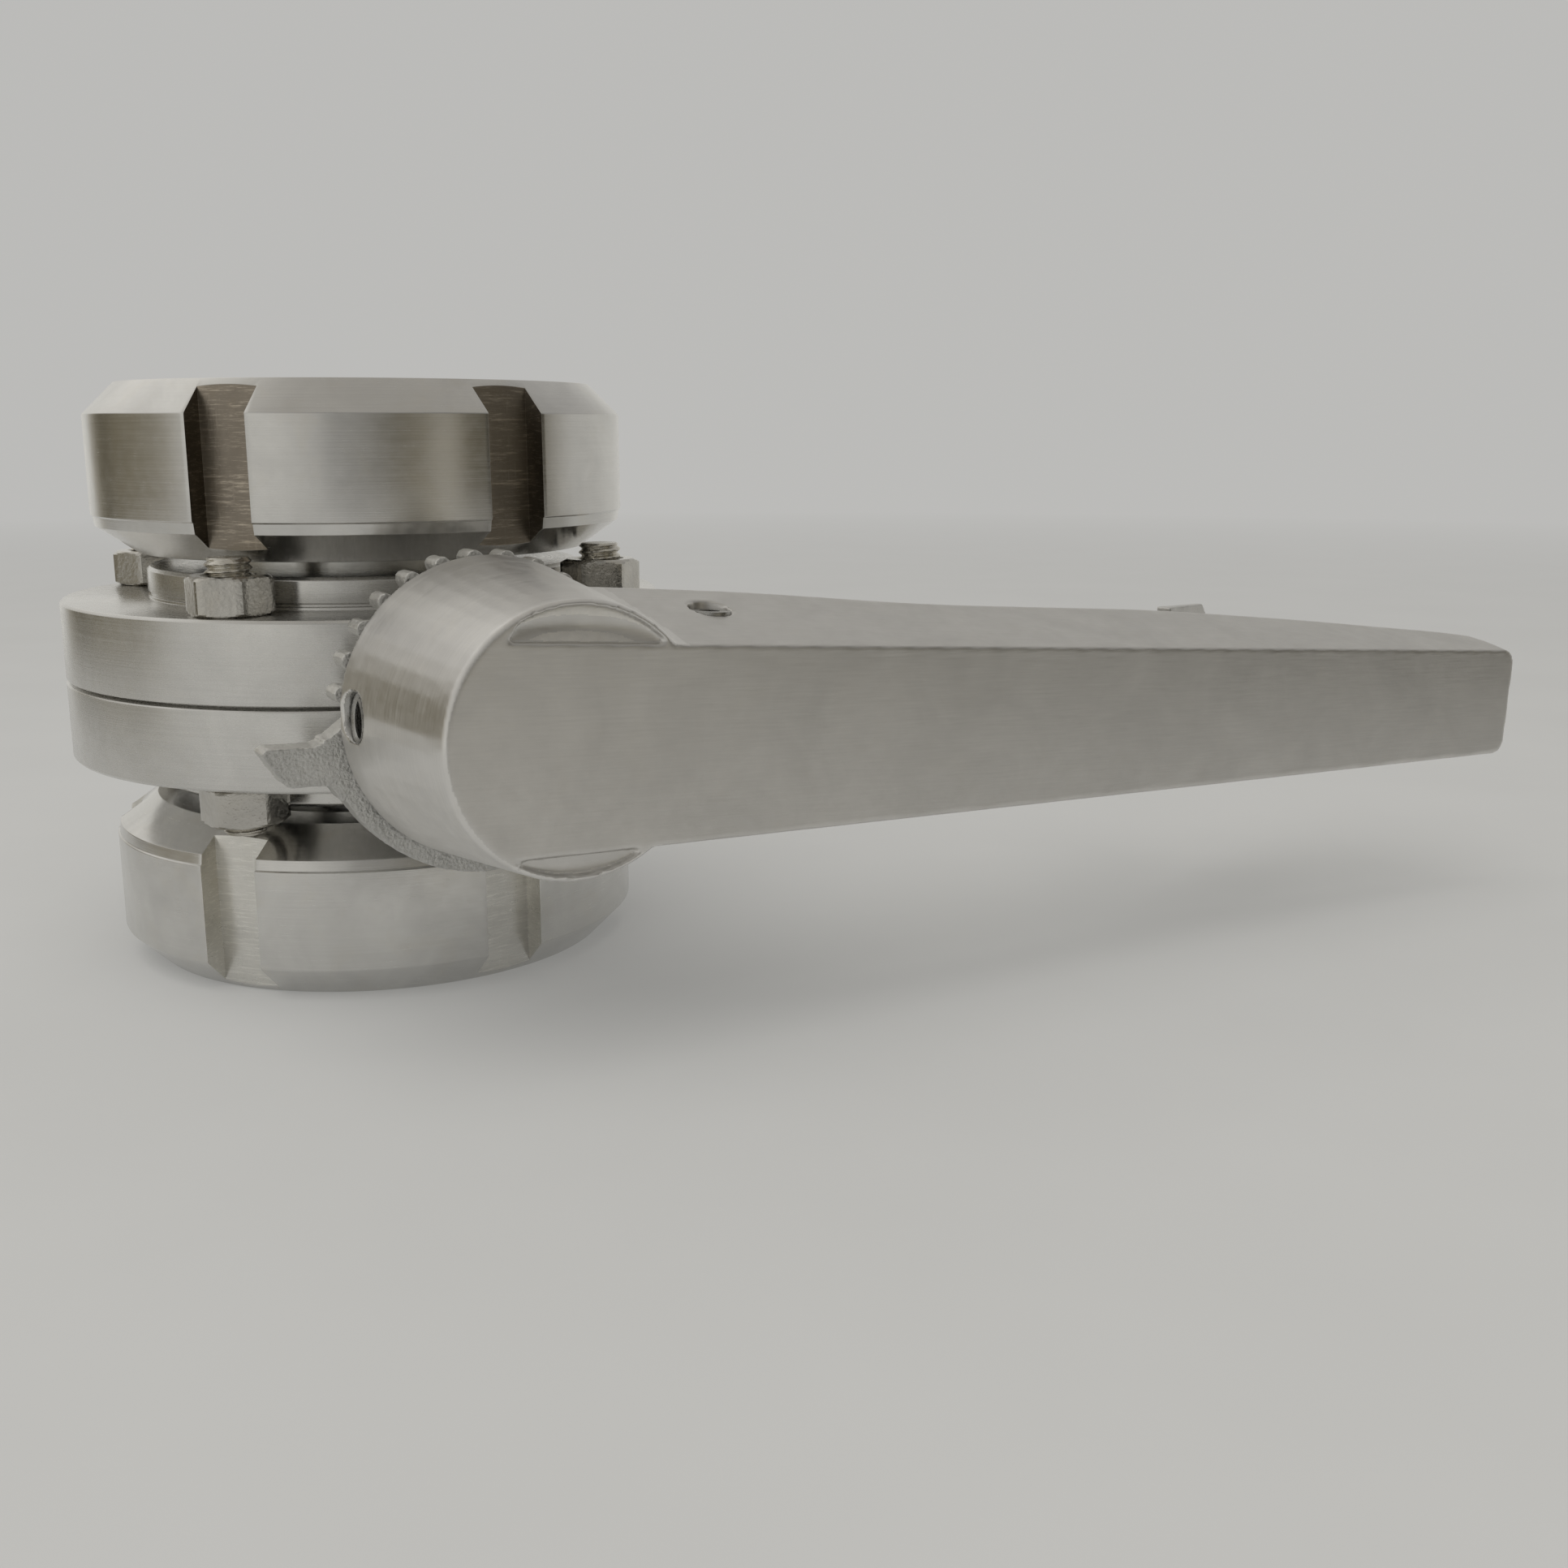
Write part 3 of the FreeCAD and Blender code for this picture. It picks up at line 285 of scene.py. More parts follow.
# name, colour, roughness
POLYMERS = (
    ("seat_elastomer", (0.03, 0.03, 0.032), 0.55),
    ("o_ring_elastomer", (0.02, 0.02, 0.02), 0.45),
    ("bush_plastic", (0.82, 0.81, 0.76), 0.42),
)
MATERIALS = {row[0]: steel(*row) for row in STEELS}
MATERIALS.update({row[0]: polymer(*row) for row in POLYMERS})


def paint(obj, *names):
    obj.data.materials.clear()
    for name in names:
        obj.data.materials.append(MATERIALS[name])


# =====================================================================
# mesh helpers; a shape is a pair of vertex and face lists
# =====================================================================
def fillet(outline, steps=3):
    """Rounds the corners of a closed outline of (r, z, corner radius)."""
    out = []
    for i, (r, z, radius) in enumerate(outline):
        corner = Vector((r, z))
        before = Vector(outline[i - 1][:2]) - corner
        after = Vector(outline[(i + 1) % len(outline)][:2]) - corner
        room_before, room_after = before.length, after.length
        before.normalize()
        after.normalize()
        angle = before.angle(after)
        if radius <= 0 or angle > math.radians(172):
            out.append(tuple(corner))
            continue
        setback = min(radius / math.tan(angle / 2), 0.45 * room_before, 0.45 * room_after)
        arc = setback * math.tan(angle / 2)
        center = corner + (before + after).normalized() * (arc / math.sin(angle / 2))
        start, end = corner + before * setback, corner + after * setback
        a0 = math.atan2(start.y - center.y, start.x - center.x)
        a1 = math.atan2(end.y - center.y, end.x - center.x)
        sweep = (a1 - a0 + math.pi) % math.tau - math.pi
        for k in range(steps + 1):
            a = a0 + sweep * k / steps
            out.append((center.x + arc * math.cos(a), center.y + arc * math.sin(a)))
    return out


def circle(radius, count):
    return [(radius * math.cos(math.tau * k / count), radius * math.sin(math.tau * k / count))
            for k in range(count)]


def tube_faces(size, bands, closed=False):
    """Quads between successive rings of size vertices; closed joins the last to the first."""
    faces = []
    for j in range(bands):
        here, there = j * size, ((j + 1) % bands if closed else j + 1) * size
        for k in range(size):
            nxt = (k + 1) % size
            faces.append((here + k, here + nxt, there + nxt, there + k))
    return faces


def capped_tube_faces(size, bands):
    return tube_faces(size, bands) + [
        tuple(range(size)), tuple(bands * size + k for k in range(size - 1, -1, -1))]


def lathe(profile, count, radial=None):
    """Closed ring turned about Z. radial(r, z, angle) may change the radius."""
    verts = []
    for j in range(count):
        a = math.tau * j / count
        for r, z in profile:
            reach = radial(r, z, a) if radial else r
            verts.append((reach * math.cos(a), reach * math.sin(a), z))
    return verts, tube_faces(len(profile), count, closed=True)


def box(lo, hi):
    (x0, y0, z0), (x1, y1, z1) = lo, hi
    verts = [(x, y, z) for z in (z0, z1) for x, y in ((x0, y0), (x1, y0), (x1, y1), (x0, y1))]
    faces = [(0, 3, 2, 1), (4, 5, 6, 7), (0, 1, 5, 4), (1, 2, 6, 5), (2, 3, 7, 6), (3, 0, 4, 7)]
    return verts, faces


def cylinder(radius, start, end, count=64):
    start, end = Vector(start), Vector(end)
    aim = (end - start).to_track_quat("Z", "Y").to_matrix()
    verts = [tuple(base + aim @ Vector((x, y, 0)))
             for base in (start, end) for x, y in circle(radius, count)]
    caps = [tuple(range(count - 1, -1, -1)), tuple(range(count, 2 * count))]
    return verts, caps + tube_faces(count, 1)


def join(shapes):
    verts, faces = [], []
    for part_verts, part_faces in shapes:
        first = len(verts)
        verts += part_verts
        faces += [tuple(i + first for i in face) for face in part_faces]
    return verts, faces


def turn(verts, degrees):
    c, s = math.cos(math.radians(degrees)), math.sin(math.radians(degrees))
    return [(x * c - y * s, x * s + y * c, z) for x, y, z in verts]


def flip(verts, side):
    """side is 1 for the upper piece and -1 for its mirror image below."""
    return [(x, y, z * side) for x, y, z in verts]


def shade(obj, angle):
    """Smooth faces, with edges steeper than angle degrees kept sharp."""
    bm = bmesh.new()
    bm.from_mesh(obj.data)
    bmesh.ops.recalc_face_normals(bm, faces=bm.faces)
    limit = math.radians(angle)
    for face in bm.faces:
        face.smooth = True
    for edge in bm.edges:
        edge.smooth = not (len(edge.link_faces) == 2 and edge.calc_face_angle(0) > limit)
    bm.to_mesh(obj.data)
    bm.free()


def mesh_object(name, shape, material=None, body=None, smooth=35.0):
    verts, faces = shape
    mesh = bpy.data.meshes.new(name)
    mesh.from_pydata([tuple(c * MM for c in v) for v in verts], [], faces)
    mesh.validate()
    mesh.update()
    obj = bpy.data.objects.new(name, mesh)
    coll.objects.link(obj)
    shade(obj, smooth)
    if material:
        paint(obj, material)
    if body:
        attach(obj, body)
    return obj


def apply_modifiers(obj):
    depsgraph = bpy.context.evaluated_depsgraph_get()
    depsgraph.update()
    mesh = bpy.data.meshes.new_from_object(obj.evaluated_get(depsgraph),
                                           preserve_all_data_layers=True, depsgraph=depsgraph)
    obj.modifiers.clear()
    obj.data = mesh


def boolean(obj, shape, operation="DIFFERENCE"):
    tool = mesh_object("t", shape)
    mod = obj.modifiers.new("b", "BOOLEAN")
    mod.operation, mod.object, mod.solver = operation, tool, "EXACT"
    bpy.context.view_layer.update()
    apply_modifiers(obj)
    bpy.data.objects.remove(tool)


def add_weld(obj):
    obj.modifiers.new("w", "WELD").merge_threshold = 2e-6


def add_bevel(obj, width, angle=30):
    mod = obj.modifiers.new("bevel", "BEVEL")
    mod.width, mod.segments = width * MM, 2
    mod.limit_method, mod.angle_limit = "ANGLE", math.radians(angle)
    return mod


# =====================================================================
# union nuts: turned ring, helical round thread, six milled slots
# =====================================================================
NUT_RADIUS = 37.8
NUT_TOP = 40.9
NUT_SEGMENTS = 264
NUT_THREAD_RADIUS = 31.0
NUT_THREAD_PITCH = 25.4 / 6
NUT_THREAD_HEIGHT = 0.62                  # half the depth of the wave
NUT_THREAD_STEPS = 44                     # along the threaded wall
SLOT_FLOOR = 34.2                         # distance of the slot floor from the axis
SLOT_HALF = 4.25
# r, z, corner radius
NUT_PROFILE = [
    (25.1, 17.5, .2), (31.9, 17.5, .35), (NUT_RADIUS - 1.0, 21.0, .2),
    (NUT_RADIUS - .45, 21.3, .12), (NUT_RADIUS - .25, 22.7, .1), (NUT_RADIUS, 22.9, .1),
    (NUT_RADIUS, 36.5, .35), (NUT_RADIUS - 4.4, NUT_TOP, .3), (32.3, NUT_TOP, .2),
    (NUT_THREAD_RADIUS, 39.7, .15), (NUT_THREAD_RADIUS, 30.5, .1), (32.0, 29.5, .1),
    (32.0, 27.0, .2), (29.0, 27.0, .2), (24.6, 22.6, .3), (24.6, 18.0, .15),
]


def nut_profile():
    """The rounded profile with finer steps along the threaded wall."""
    profile = fillet(NUT_PROFILE)
    out = []
    for i, (r, z) in enumerate(profile):
        next_r, next_z = profile[(i + 1) % len(profile)]
        out.append((r, z))
        on_wall = max(abs(r - NUT_THREAD_RADIUS), abs(next_r - NUT_THREAD_RADIUS)) < 0.3
        if on_wall and abs(z - next_z) > 4:
            out += [(NUT_THREAD_RADIUS, z + (next_z - z) * k / NUT_THREAD_STEPS)
                    for k in range(1, NUT_THREAD_STEPS)]
    return out


def paint_union_nut(nut, phase, slot_floor, slot_wall):
    paint(nut, "union_nut_turned", slot_floor, "thread_cut", slot_wall)
    for face in nut.data.polygons:
        center = face.center / MM
        r = math.hypot(center.x, center.y)
        # angle from the middle of the nearest slot, and the place in that slot's frame
        a = (math.degrees(math.atan2(center.y, center.x)) - phase + 30) % 60 - 30
        out, across = r * math.cos(math.radians(a)), r * math.sin(math.radians(a))
        upright = abs(face.normal.z) < 0.05
        face.material_index = 0
        if upright and abs(out - SLOT_FLOOR) < 0.05 and abs(across) < SLOT_HALF + 0.05:
            face.material_index = 1
        elif upright and abs(abs(across) - SLOT_HALF) < 0.05 and out > SLOT_FLOOR - 0.1:
            face.material_index = 3
        elif 30.9 < r < 32.5 and abs(center.z) > 30.4:
            face.material_index = 2


def union_nut(name, side, phase, node, body, slot_floor, slot_wall):
    def radial(r, z, a):
        if 30.5 < r < 31.9 and z > 30.0:
            fade = min(1.0, max(0.0, (z - 30.4) / 0.8)) * min(1.0, max(0.0, (40.2 - z) / 0.8))
            wave = math.cos(math.tau * (z / NUT_THREAD_PITCH - side * a / math.tau))
            return r + fade * NUT_THREAD_HEIGHT * (1 + wave)
        return r

    verts, faces = lathe(nut_profile(), NUT_SEGMENTS, radial)
    verts = turn(flip(verts, side), phase + 180 / NUT_SEGMENTS)
    nut = mesh_object(name, (verts, faces))
    cut, cut_faces = box((SLOT_FLOOR, -SLOT_HALF, -60), (50, SLOT_HALF, 60))
    boolean(nut, join([(turn(cut, phase + 60 * k), cut_faces) for k in range(6)]))
    add_bevel(nut, 0.22, angle=33)
    apply_modifiers(nut)
    paint_union_nut(nut, phase, slot_floor, slot_wall)
    shade(nut, 30)
    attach(nut, body)
    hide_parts(node)


# the upper nut's slots get the darker copies as painted shade, the lower nut's the plain ones
union_nut("union_nut_upper_finish", 1, 45.0, "upper_union_nut", "upper_nut",
          "milled_slot_painted_shade", "slot_wall_painted_shade")
union_nut("union_nut_lower_finish", -1, 40.3, "lower_union_nut", "lower_nut",
          "milled_slot", "slot_wall")


# =====================================================================
# body halves: turned rings with hub ring and weld line, milled flat, neck
# =====================================================================
FLANGE_RADIUS = 42.8
HUB_RING_RADIUS = 31.0
FLAT_Y = -41.7                            # milled flat on the handle side
# r, z, corner radius; the upper rim is sharp over a hairline gap, the lower one chamfered
UPPER_RIM = [(41.5, 0, 0), (41.6, .2, .05), (42.68, .2, .05), (FLANGE_RADIUS, .34, .06)]
LOWER_RIM = [(41.7, 0, .05), (42.66, .36, .08), (FLANGE_RADIUS, .56, .05)]
BODY_PROFILE = [
    (FLANGE_RADIUS, 10.7, .25), (42.4, FLANGE_TOP, .2), (HUB_RING_RADIUS, FLANGE_TOP, .08),
    (HUB_RING_RADIUS, 11.45, .08), (30.7, 11.6, .08), (30.7, 11.9, .08),
    (HUB_RING_RADIUS, 12.05, .08), (HUB_RING_RADIUS, 15.0, .25), (30.5, 15.5, .2),
    (SOCKET_RADIUS, 15.5, 0), (SOCKET_RADIUS, LINER_START, 0), (BORE_RADIUS, LINER_START, 0),
    (BORE_RADIUS, 7.6, 0), (SOCKET_RADIUS, 7.6, 0), (SOCKET_RADIUS, 6.6, 0), (26, 6.6, 0),
]
# x, z outlines of the upper half of the neck and of the key at its end
NECK = [(11 * math.cos(math.pi * k / 40), 11 * math.sin(math.pi * k / 40)) for k in range(41)]
KEY = [(7.2, 0), (7.2, 6.2), (4.8, 8.6), (-4.8, 8.6), (-7.2, 6.2), (-7.2, 0)]


def extrude(outline, side, y0, y1):
    count = len(outline)
    verts = [(x, y, side * z) for y in (y0, y1) for x, z in outline]
    caps = [tuple(range(count)), tuple(range(2 * count - 1, count - 1, -1))]
    return verts, caps + tube_faces(count, 1)


def body_half(name, side, node):
    rim = UPPER_RIM if side > 0 else LOWER_RIM
    verts, faces = lathe(fillet([(26, 0, 0)] + rim + BODY_PROFILE), 320)
    half = mesh_object(name, (flip(verts, side), faces))
    boolean(half, box((-14, -50, -30), (14, FLAT_Y, 30)))
    boolean(half, extrude(NECK, side, -38.0, -44.4), "UNION")
    boolean(half, extrude(KEY, side, -43.0, -48.6), "UNION")
    c = BOLT_CIRCLE * math.sqrt(.5)
    boolean(half, join([cylinder(3.2, (sx * c, sy * c, -30), (sx * c, sy * c, 30))
                        for sx in (-1, 1) for sy in (-1, 1)]))
    # stem bore, then the wider bore across the body
    boolean(half, cylinder(5.4, (0, 0, 0), (0, -60, 0)))
    boolean(half, cylinder(7.0, (0, 37.5, 0), (0, -43.6, 0)))
    paint(half, "flange_turned", "cast_fine")
    for face in half.data.polygons:       # the flat and the neck look cast
        x, y, z = face.center / MM
        near_neck = y < FLAT_Y + 0.1 and abs(x) < 13 and abs(z) < 11.2
        if near_neck and abs(face.normal.z) < 0.9:
            if abs(face.normal.y) > 0.9 or y < FLAT_Y - 0.1:
                face.material_index = 1
    shade(half, 30)
    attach(half, "valve_body")
    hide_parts(node)


body_half("body_half_upper_finish", 1, "upper_body_half")
body_half("body_half_lower_finish", -1, "lower_body_half")


# =====================================================================
# liners
# =====================================================================
LINER_END = 30.0
# r, z, corner radius; the end face has a shallow groove
LINER_PROFILE = [
    (BORE_RADIUS, LINER_START, 0), (SOCKET_RADIUS, LINER_START, 0), (SOCKET_RADIUS, 20.6, .6),
    (28.2, 26.8, .3), (28.2, 29.6, .2), (27.8, LINER_END, .15), (23.8, LINER_END, .1),
    (23.4, 29.1, .2), (21.6, 29.1, .2), (21.2, LINER_END, .1), (19.3, LINER_END, .1),
    (BORE_RADIUS, 29.7, .15),
]


def liner(name, side, node):
    verts, faces = lathe(fillet(LINER_PROFILE), 240)
    obj = mesh_object(name, (flip(verts, side), faces), "liner_turned", "valve_body", 30)
    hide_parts(node)


liner("liner_upper_finish", 1, "upper_liner")
liner("liner_lower_finish", -1, "lower_liner")


# =====================================================================
# body studs and their hexagon nuts
# =====================================================================
HEX_FLATS = 10.0                          # width across flats
HEX_HEIGHT = 5.2
HEX_SEGMENTS = 72
CHAMFER_INSET = 0.25                      # how far the chamfer cone comes in at each face
CHAMFER_SLOPE = 1.75
STUD_RADIUS, STUD_PITCH, STUD_DEPTH, STUD_TIP = 3.0, 1.0, 0.45, 0.5
STUD_BOTTOM, STUD_TOP = -17.7, 18.5
# azimuth of each stud and the turn of its nuts, in degrees
STUDS = {-135: -27.0, -45: -22.0, 45: 11.0, 135: 4.0}


def hex_nut(z0):
    """Hexagon cut by a chamfer cone at each end, bored, with countersunk mouths."""
    n = HEX_SEGMENTS
    z1 = z0 + HEX_HEIGHT
    insets = (.12, .3, .55, .85)
    levels = ([z0] + [z0 + d for d in insets] + [(z0 + z1) / 2]
              + [z1 - d for d in reversed(insets)] + [z1])
    verts = []
    for z in levels:
        cone = HEX_FLATS / 2 - CHAMFER_INSET + min(z - z0, z1 - z) * CHAMFER_SLOPE
        for k in range(n):
            a = math.tau * k / n
            from_flat = (a + math.pi / 6) % (math.pi / 3) - math.pi / 6
            flat = (HEX_FLATS / 2) / math.cos(from_flat)
            r = min(flat, HEX_FLATS / math.sqrt(3) - 0.10, cone)    # 0.10 softens the corners
            verts.append((r * math.cos(a), r * math.sin(a), z))
    faces = tube_faces(n, len(levels) - 1)
    top, bore = (len(levels) - 1) * n, len(verts)
    for r, z in ((3.5, z0), (3.06, z0 + .4), (3.06, z1 - .4), (3.5, z1)):
        verts += [(x, y, z) for x, y in circle(r, n)]
    for a, b, c, d in tube_faces(n, 3):
        faces.append((b + bore, a + bore, d + bore, c + bore))
    for k in range(n):
        nxt = (k + 1) % n
        faces.append((k, bore + k, bore + nxt, nxt))
        faces.append((top + k, top + nxt, bore + 3 * n + nxt, bore + 3 * n + k))
    return verts, faces


def stud(z0, z1, n=56):
    """Threaded rod with a chamfer at each end; twelve rings to each turn of thread."""
    steps = int((z1 - z0) / STUD_PITCH * 12)
    verts = []
    for j in range(steps + 1):
        z = z0 + (z1 - z0) * j / steps
        tip = STUD_RADIUS - STUD_TIP + max(0.0, min(z1 - z, z - z0))
        for k in range(n):
            a = math.tau * k / n
            wave = abs((z / STUD_PITCH - a / math.tau) % 1.0 * 2 - 1)    # 0 crest, 1 root
            depth = min(1.0, max(0.0, (wave - 0.12) / 0.76)) * STUD_DEPTH
            r = min(STUD_RADIUS - depth, tip)
            verts.append((r * math.cos(a), r * math.sin(a), z))
    faces = tube_faces(n, steps)
    top, center = steps * n, len(verts)
    verts += [(0, 0, z1 - 0.05), (0, 0, z0)]
    faces += [(top + k, top + (k + 1) % n, center) for k in range(n)]
    faces += [((k + 1) % n, k, center + 1) for k in range(n)]
    return verts, faces


def fasteners():
    nuts, studs = [], []
    for azimuth, nut_turn in STUDS.items():
        cx = BOLT_CIRCLE * math.cos(math.radians(azimuth))
        cy = BOLT_CIRCLE * math.sin(math.radians(azimuth))

        def place(shape, degrees):
            return [(x + cx, y + cy, z) for x, y, z in turn(shape[0], degrees)], shape[1]

        nuts.append(place(hex_nut(FLANGE_TOP), nut_turn + 30))
        nuts.append(place(hex_nut(-(FLANGE_TOP + HEX_HEIGHT)), nut_turn + 41))
        studs.append(place(stud(STUD_BOTTOM, STUD_TOP), azimuth * 1.7))
    for name, shapes, material in (("body_nuts", nuts, "fastener_steel"),
                                   ("body_studs", studs, "stud_thread")):
        obj = mesh_object(name + "_finish", join(shapes), material, "valve_body", 24)
        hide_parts(name)


fasteners()


# =====================================================================
# castings: the CAD solids remeshed and smoothed like a cast, polished part
# =====================================================================
def taubin(points, edges, degree, rounds):
    """Smoothing that keeps the size: each pull inward is followed by a push outward."""
    for _ in range(rounds):
        for step in (0.5, -0.52):
            total = np.zeros_like(points)
            np.add.at(total, edges[:, 0], points[edges[:, 1]])
            np.add.at(total, edges[:, 1], points[edges[:, 0]])
            points = points + step * (total / degree[:, None] - points)
    return points


def soften(points, edges, weight, rounds=600):
    """Wide soft fillets where the weight is above zero."""
    near = (weight[edges[:, 0], 0] > 0) | (weight[edges[:, 1], 0] > 0)
    ids, local = np.unique(edges[near].ravel(), return_inverse=True)
    local = local.reshape(-1, 2)
    part, part_weight, count = points[ids], weight[ids], len(ids)
    degree = np.bincount(local.ravel(), minlength=count).astype(float)[:, None]
    for _ in range(rounds):
        total = np.stack([np.bincount(local[:, 0], part[local[:, 1], q], count)
                          + np.bincount(local[:, 1], part[local[:, 0], q], count)
                          for q in range(3)], 1)
        part = part + 0.5 * part_weight * (total / degree - part)
    points[ids] = part


def cast(name, node, body, materials, voxel, rounds, rough=0.0, seed=1.0, weight=None):
    obj = bpy.data.objects.new(name, NODES[node].data.copy())
    coll.objects.link(obj)
    add_weld(obj)
    remesh = obj.modifiers.new("r", "REMESH")
    remesh.mode, remesh.voxel_size, remesh.adaptivity = "VOXEL", voxel * MM, 0.0
    apply_modifiers(obj)
    mesh = obj.data
    count = len(mesh.vertices)
    points = np.empty(count * 3, np.float64)
    mesh.vertices.foreach_get("co", points)
    points = points.reshape(-1, 3)
    edges = np.empty(len(mesh.edges) * 2, np.int64)
    mesh.edges.foreach_get("vertices", edges)
    degree = np.bincount(edges, minlength=count).astype(float)
    edges = edges.reshape(-1, 2)
    points = taubin(points, edges, degree, rounds)
    if weight is not None:
        soften(points, edges, weight(points / MM)[:, None])
    mesh.vertices.foreach_set("co", points.ravel())
    mesh.update()
    if rough:
        normals = np.empty(count * 3)
        mesh.vertices.foreach_get("normal", normals)
        height = np.array([noise.fractal(Vector(p) * 900 + Vector((seed, 0, 0)), 0.6, 2.0, 3)
                           for p in points])
        points = points + normals.reshape(-1, 3) * (height * rough * MM)[:, None]
        mesh.vertices.foreach_set("co", points.ravel())
        mesh.update()
    for face in mesh.polygons:
        face.use_smooth = True
    paint(obj, *materials)
    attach(obj, body)
    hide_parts(node)
    return obj


def dish_weight(points):
    """Weight 1 inside the two dished zones of the hub face, fading at their rims."""
    x, z = to_lever(points[:, 0], points[:, 2])
    y = points[:, 1]
    inside_rim = np.clip((15.4 - np.hypot(x, z)) / 1.4, 0, 1)
    depth = np.clip((y + 75.9) / 0.9, 0, 1) * np.clip((-66.0 - y) / 1.0, 0, 1)
    return inside_rim * depth * (np.abs(z - LEVER_MID_Z) > 7.5)


def paint_handle(mesh):
    centers = np.empty(len(mesh.polygons) * 3)
    mesh.polygons.foreach_get("center", centers)
    in_dish = dish_weight(centers.reshape(-1, 3) / MM) > 0.0
    for face in mesh.polygons:
        center = face.center / MM
        x, z = to_lever(center.x, center.z)
        y = center.y
        r = math.hypot(x, z)
        nx, nz = to_lever(face.normal.x, face.normal.z)
        outward = (nx * x + nz * z) / max(r, 1e-6)
        # the hub is a cone, 19.3 in radius at its inner end and 3.2 less at its outer end
        cone = 19.3 + (y - HUB_INNER_Y) / (HUB_INNER_Y - HUB_OUTER_Y) * 3.2
        lever_half = 12 - 0.0213 * x + 0.26 * (y - HUB_OUTER_Y)
        index = 0
        if (abs(r - cone) < 1.1 and outward > 0.35) or (face.normal.y > 0.5 and x < 19):
            index = 1                     # hub
        elif x > 18.5 and y > -73.8 and abs(z - LEVER_MID_Z) < lever_half - 2.0:
            index = 2                     # inside of the channel stays as cast
        if x < -9 and math.hypot(y - GRUB_Y, z) < GRUB_RADIUS + 0.3:
            index = 3                     # tapped hole wall: painted shade, dark inside the hole
        # the dished zones get a lighter colour as painted light
        elif in_dish[face.index] and face.normal.y > -0.93:
            index = 4
        face.material_index = index


handle = cast("handle_finish", "handle_casting", "handle",
              ("lever_brushed", "hub_brushed", "cast_fine", "screw_dark_and_hole_shade", "dish_painted_light"),
              voxel=0.34, rounds=2, weight=dish_weight)
paint_handle(handle.data)
plate = cast("index_plate_finish", "index_plate", "valve_body",
             ("cast_blasted", "cast_painted_top_light"), voxel=0.19, rounds=1, rough=0.07)
for face in plate.data.polygons:          # upward-facing faces get a lighter copy of the finish: painted light from above
    face.material_index = 1 if abs(face.normal.y) < 0.6 and face.normal.z > 0.2 else 0
cast("trigger_finish", "trigger_lever", "trigger", ("cast_fine",),
     voxel=0.30, rounds=3, rough=0.02, seed=7.0)


# =====================================================================
# thread in the grub screw hole: a ridge that winds on its wall, standing inward
# =====================================================================
def grub_thread(start=11.4, end=18.3, pitch=1.0, depth=0.42, per_turn=40):
    # offset from the wall (mm), offset along the hole (pitches)
    section = [(0.15, -0.46), (0.0, -0.44), (-depth, -0.07),
               (-depth, 0.07), (0.0, 0.44), (0.15, 0.46)]
    bands = int((end - start) / pitch * per_turn)
    verts = []
    for j in range(bands + 1):
        a = math.tau * j / per_turn
        middle = start + pitch * j / per_turn
        for out, along in section:
            r = GRUB_RADIUS + out
            verts.append(from_lever(-(middle + along * pitch), GRUB_Y + r * math.sin(a),
                                    r * math.cos(a)))
    shape = verts, capped_tube_faces(len(section), bands)
    # the ridge takes the dark screw colour as painted shade inside the hole
    thread = mesh_object("grub_hole_thread", shape, "screw_dark_and_hole_shade", "handle", 40)


grub_thread()

# =====================================================================
# trigger spring, a straight coil between the two bodies it pushes apart
# =====================================================================
SPRING_X = 46.0                           # along the lever
SPRING_INNER_Y, SPRING_OUTER_Y = -65.2, -73.3
SPRING_RADIUS, SPRING_TURNS = 2.9, 4.5
WIRE_RADIUS = 0.45


def trigger_spring(per_turn=36, around=10):
    bands = int(SPRING_TURNS * per_turn)
    length = SPRING_INNER_Y - SPRING_OUTER_Y
    verts = []
    for j in range(bands + 1):
        a = math.tau * j / per_turn
        y = SPRING_OUTER_Y + WIRE_RADIUS + (length - 2 * WIRE_RADIUS) * j / bands
        tangent = Vector((-math.sin(a) * SPRING_RADIUS, length / SPRING_TURNS / math.tau,
                          math.cos(a) * SPRING_RADIUS)).normalized()
        outward = Vector((math.cos(a), 0, math.sin(a)))
        sideways = tangent.cross(outward)
        for k in range(around):
            b = math.tau * k / around
            p = (outward * (SPRING_RADIUS + WIRE_RADIUS * math.cos(b))
                 + sideways * (WIRE_RADIUS * math.sin(b)))
            verts.append(from_lever(SPRING_X + p.x, y + p.y, p.z))
    shape = verts, capped_tube_faces(around, bands)
    spring = mesh_object("trigger_spring_finish", shape, "spring_wire", smooth=60)
    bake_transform(spring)
    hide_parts("trigger_spring")


trigger_spring()

# =====================================================================
# CAD pieces kept as they are: welded, softened edges, procedural finish
# =====================================================================
# node, material, bevel width (mm)
KEPT = (
    ("seat_ring", "seat_elastomer", .15), ("valve_disc", "disc_polished", .2),
    ("drive_stem", "stem_ground", .1), ("rear_trunnion", "stem_ground", .1),
    ("front_stem_bush", "bush_plastic", .1), ("rear_stem_bush", "bush_plastic", .1),
    ("front_stem_o_ring", "o_ring_elastomer", 0), ("rear_stem_o_ring", "o_ring_elastomer", 0),
    ("trigger_pivot_screw", "screw_dark_and_hole_shade", .08), ("hub_grub_screw", "screw_dark_and_hole_shade", .08),
)
for node, material, width in KEPT:
    paint(NODES[node], material)
    add_weld(NODES[node])
    if width:
        add_bevel(NODES[node], width).harden_normals = True

# =====================================================================
# floor
# =====================================================================
BACKDROP = (0.500, 0.497, 0.484, 1)       # what the camera sees beyond the paper
FLOOR_Z = -0.0409
FLOOR_RADIUS = 12.0
PAPER = 0.592                             # albedo


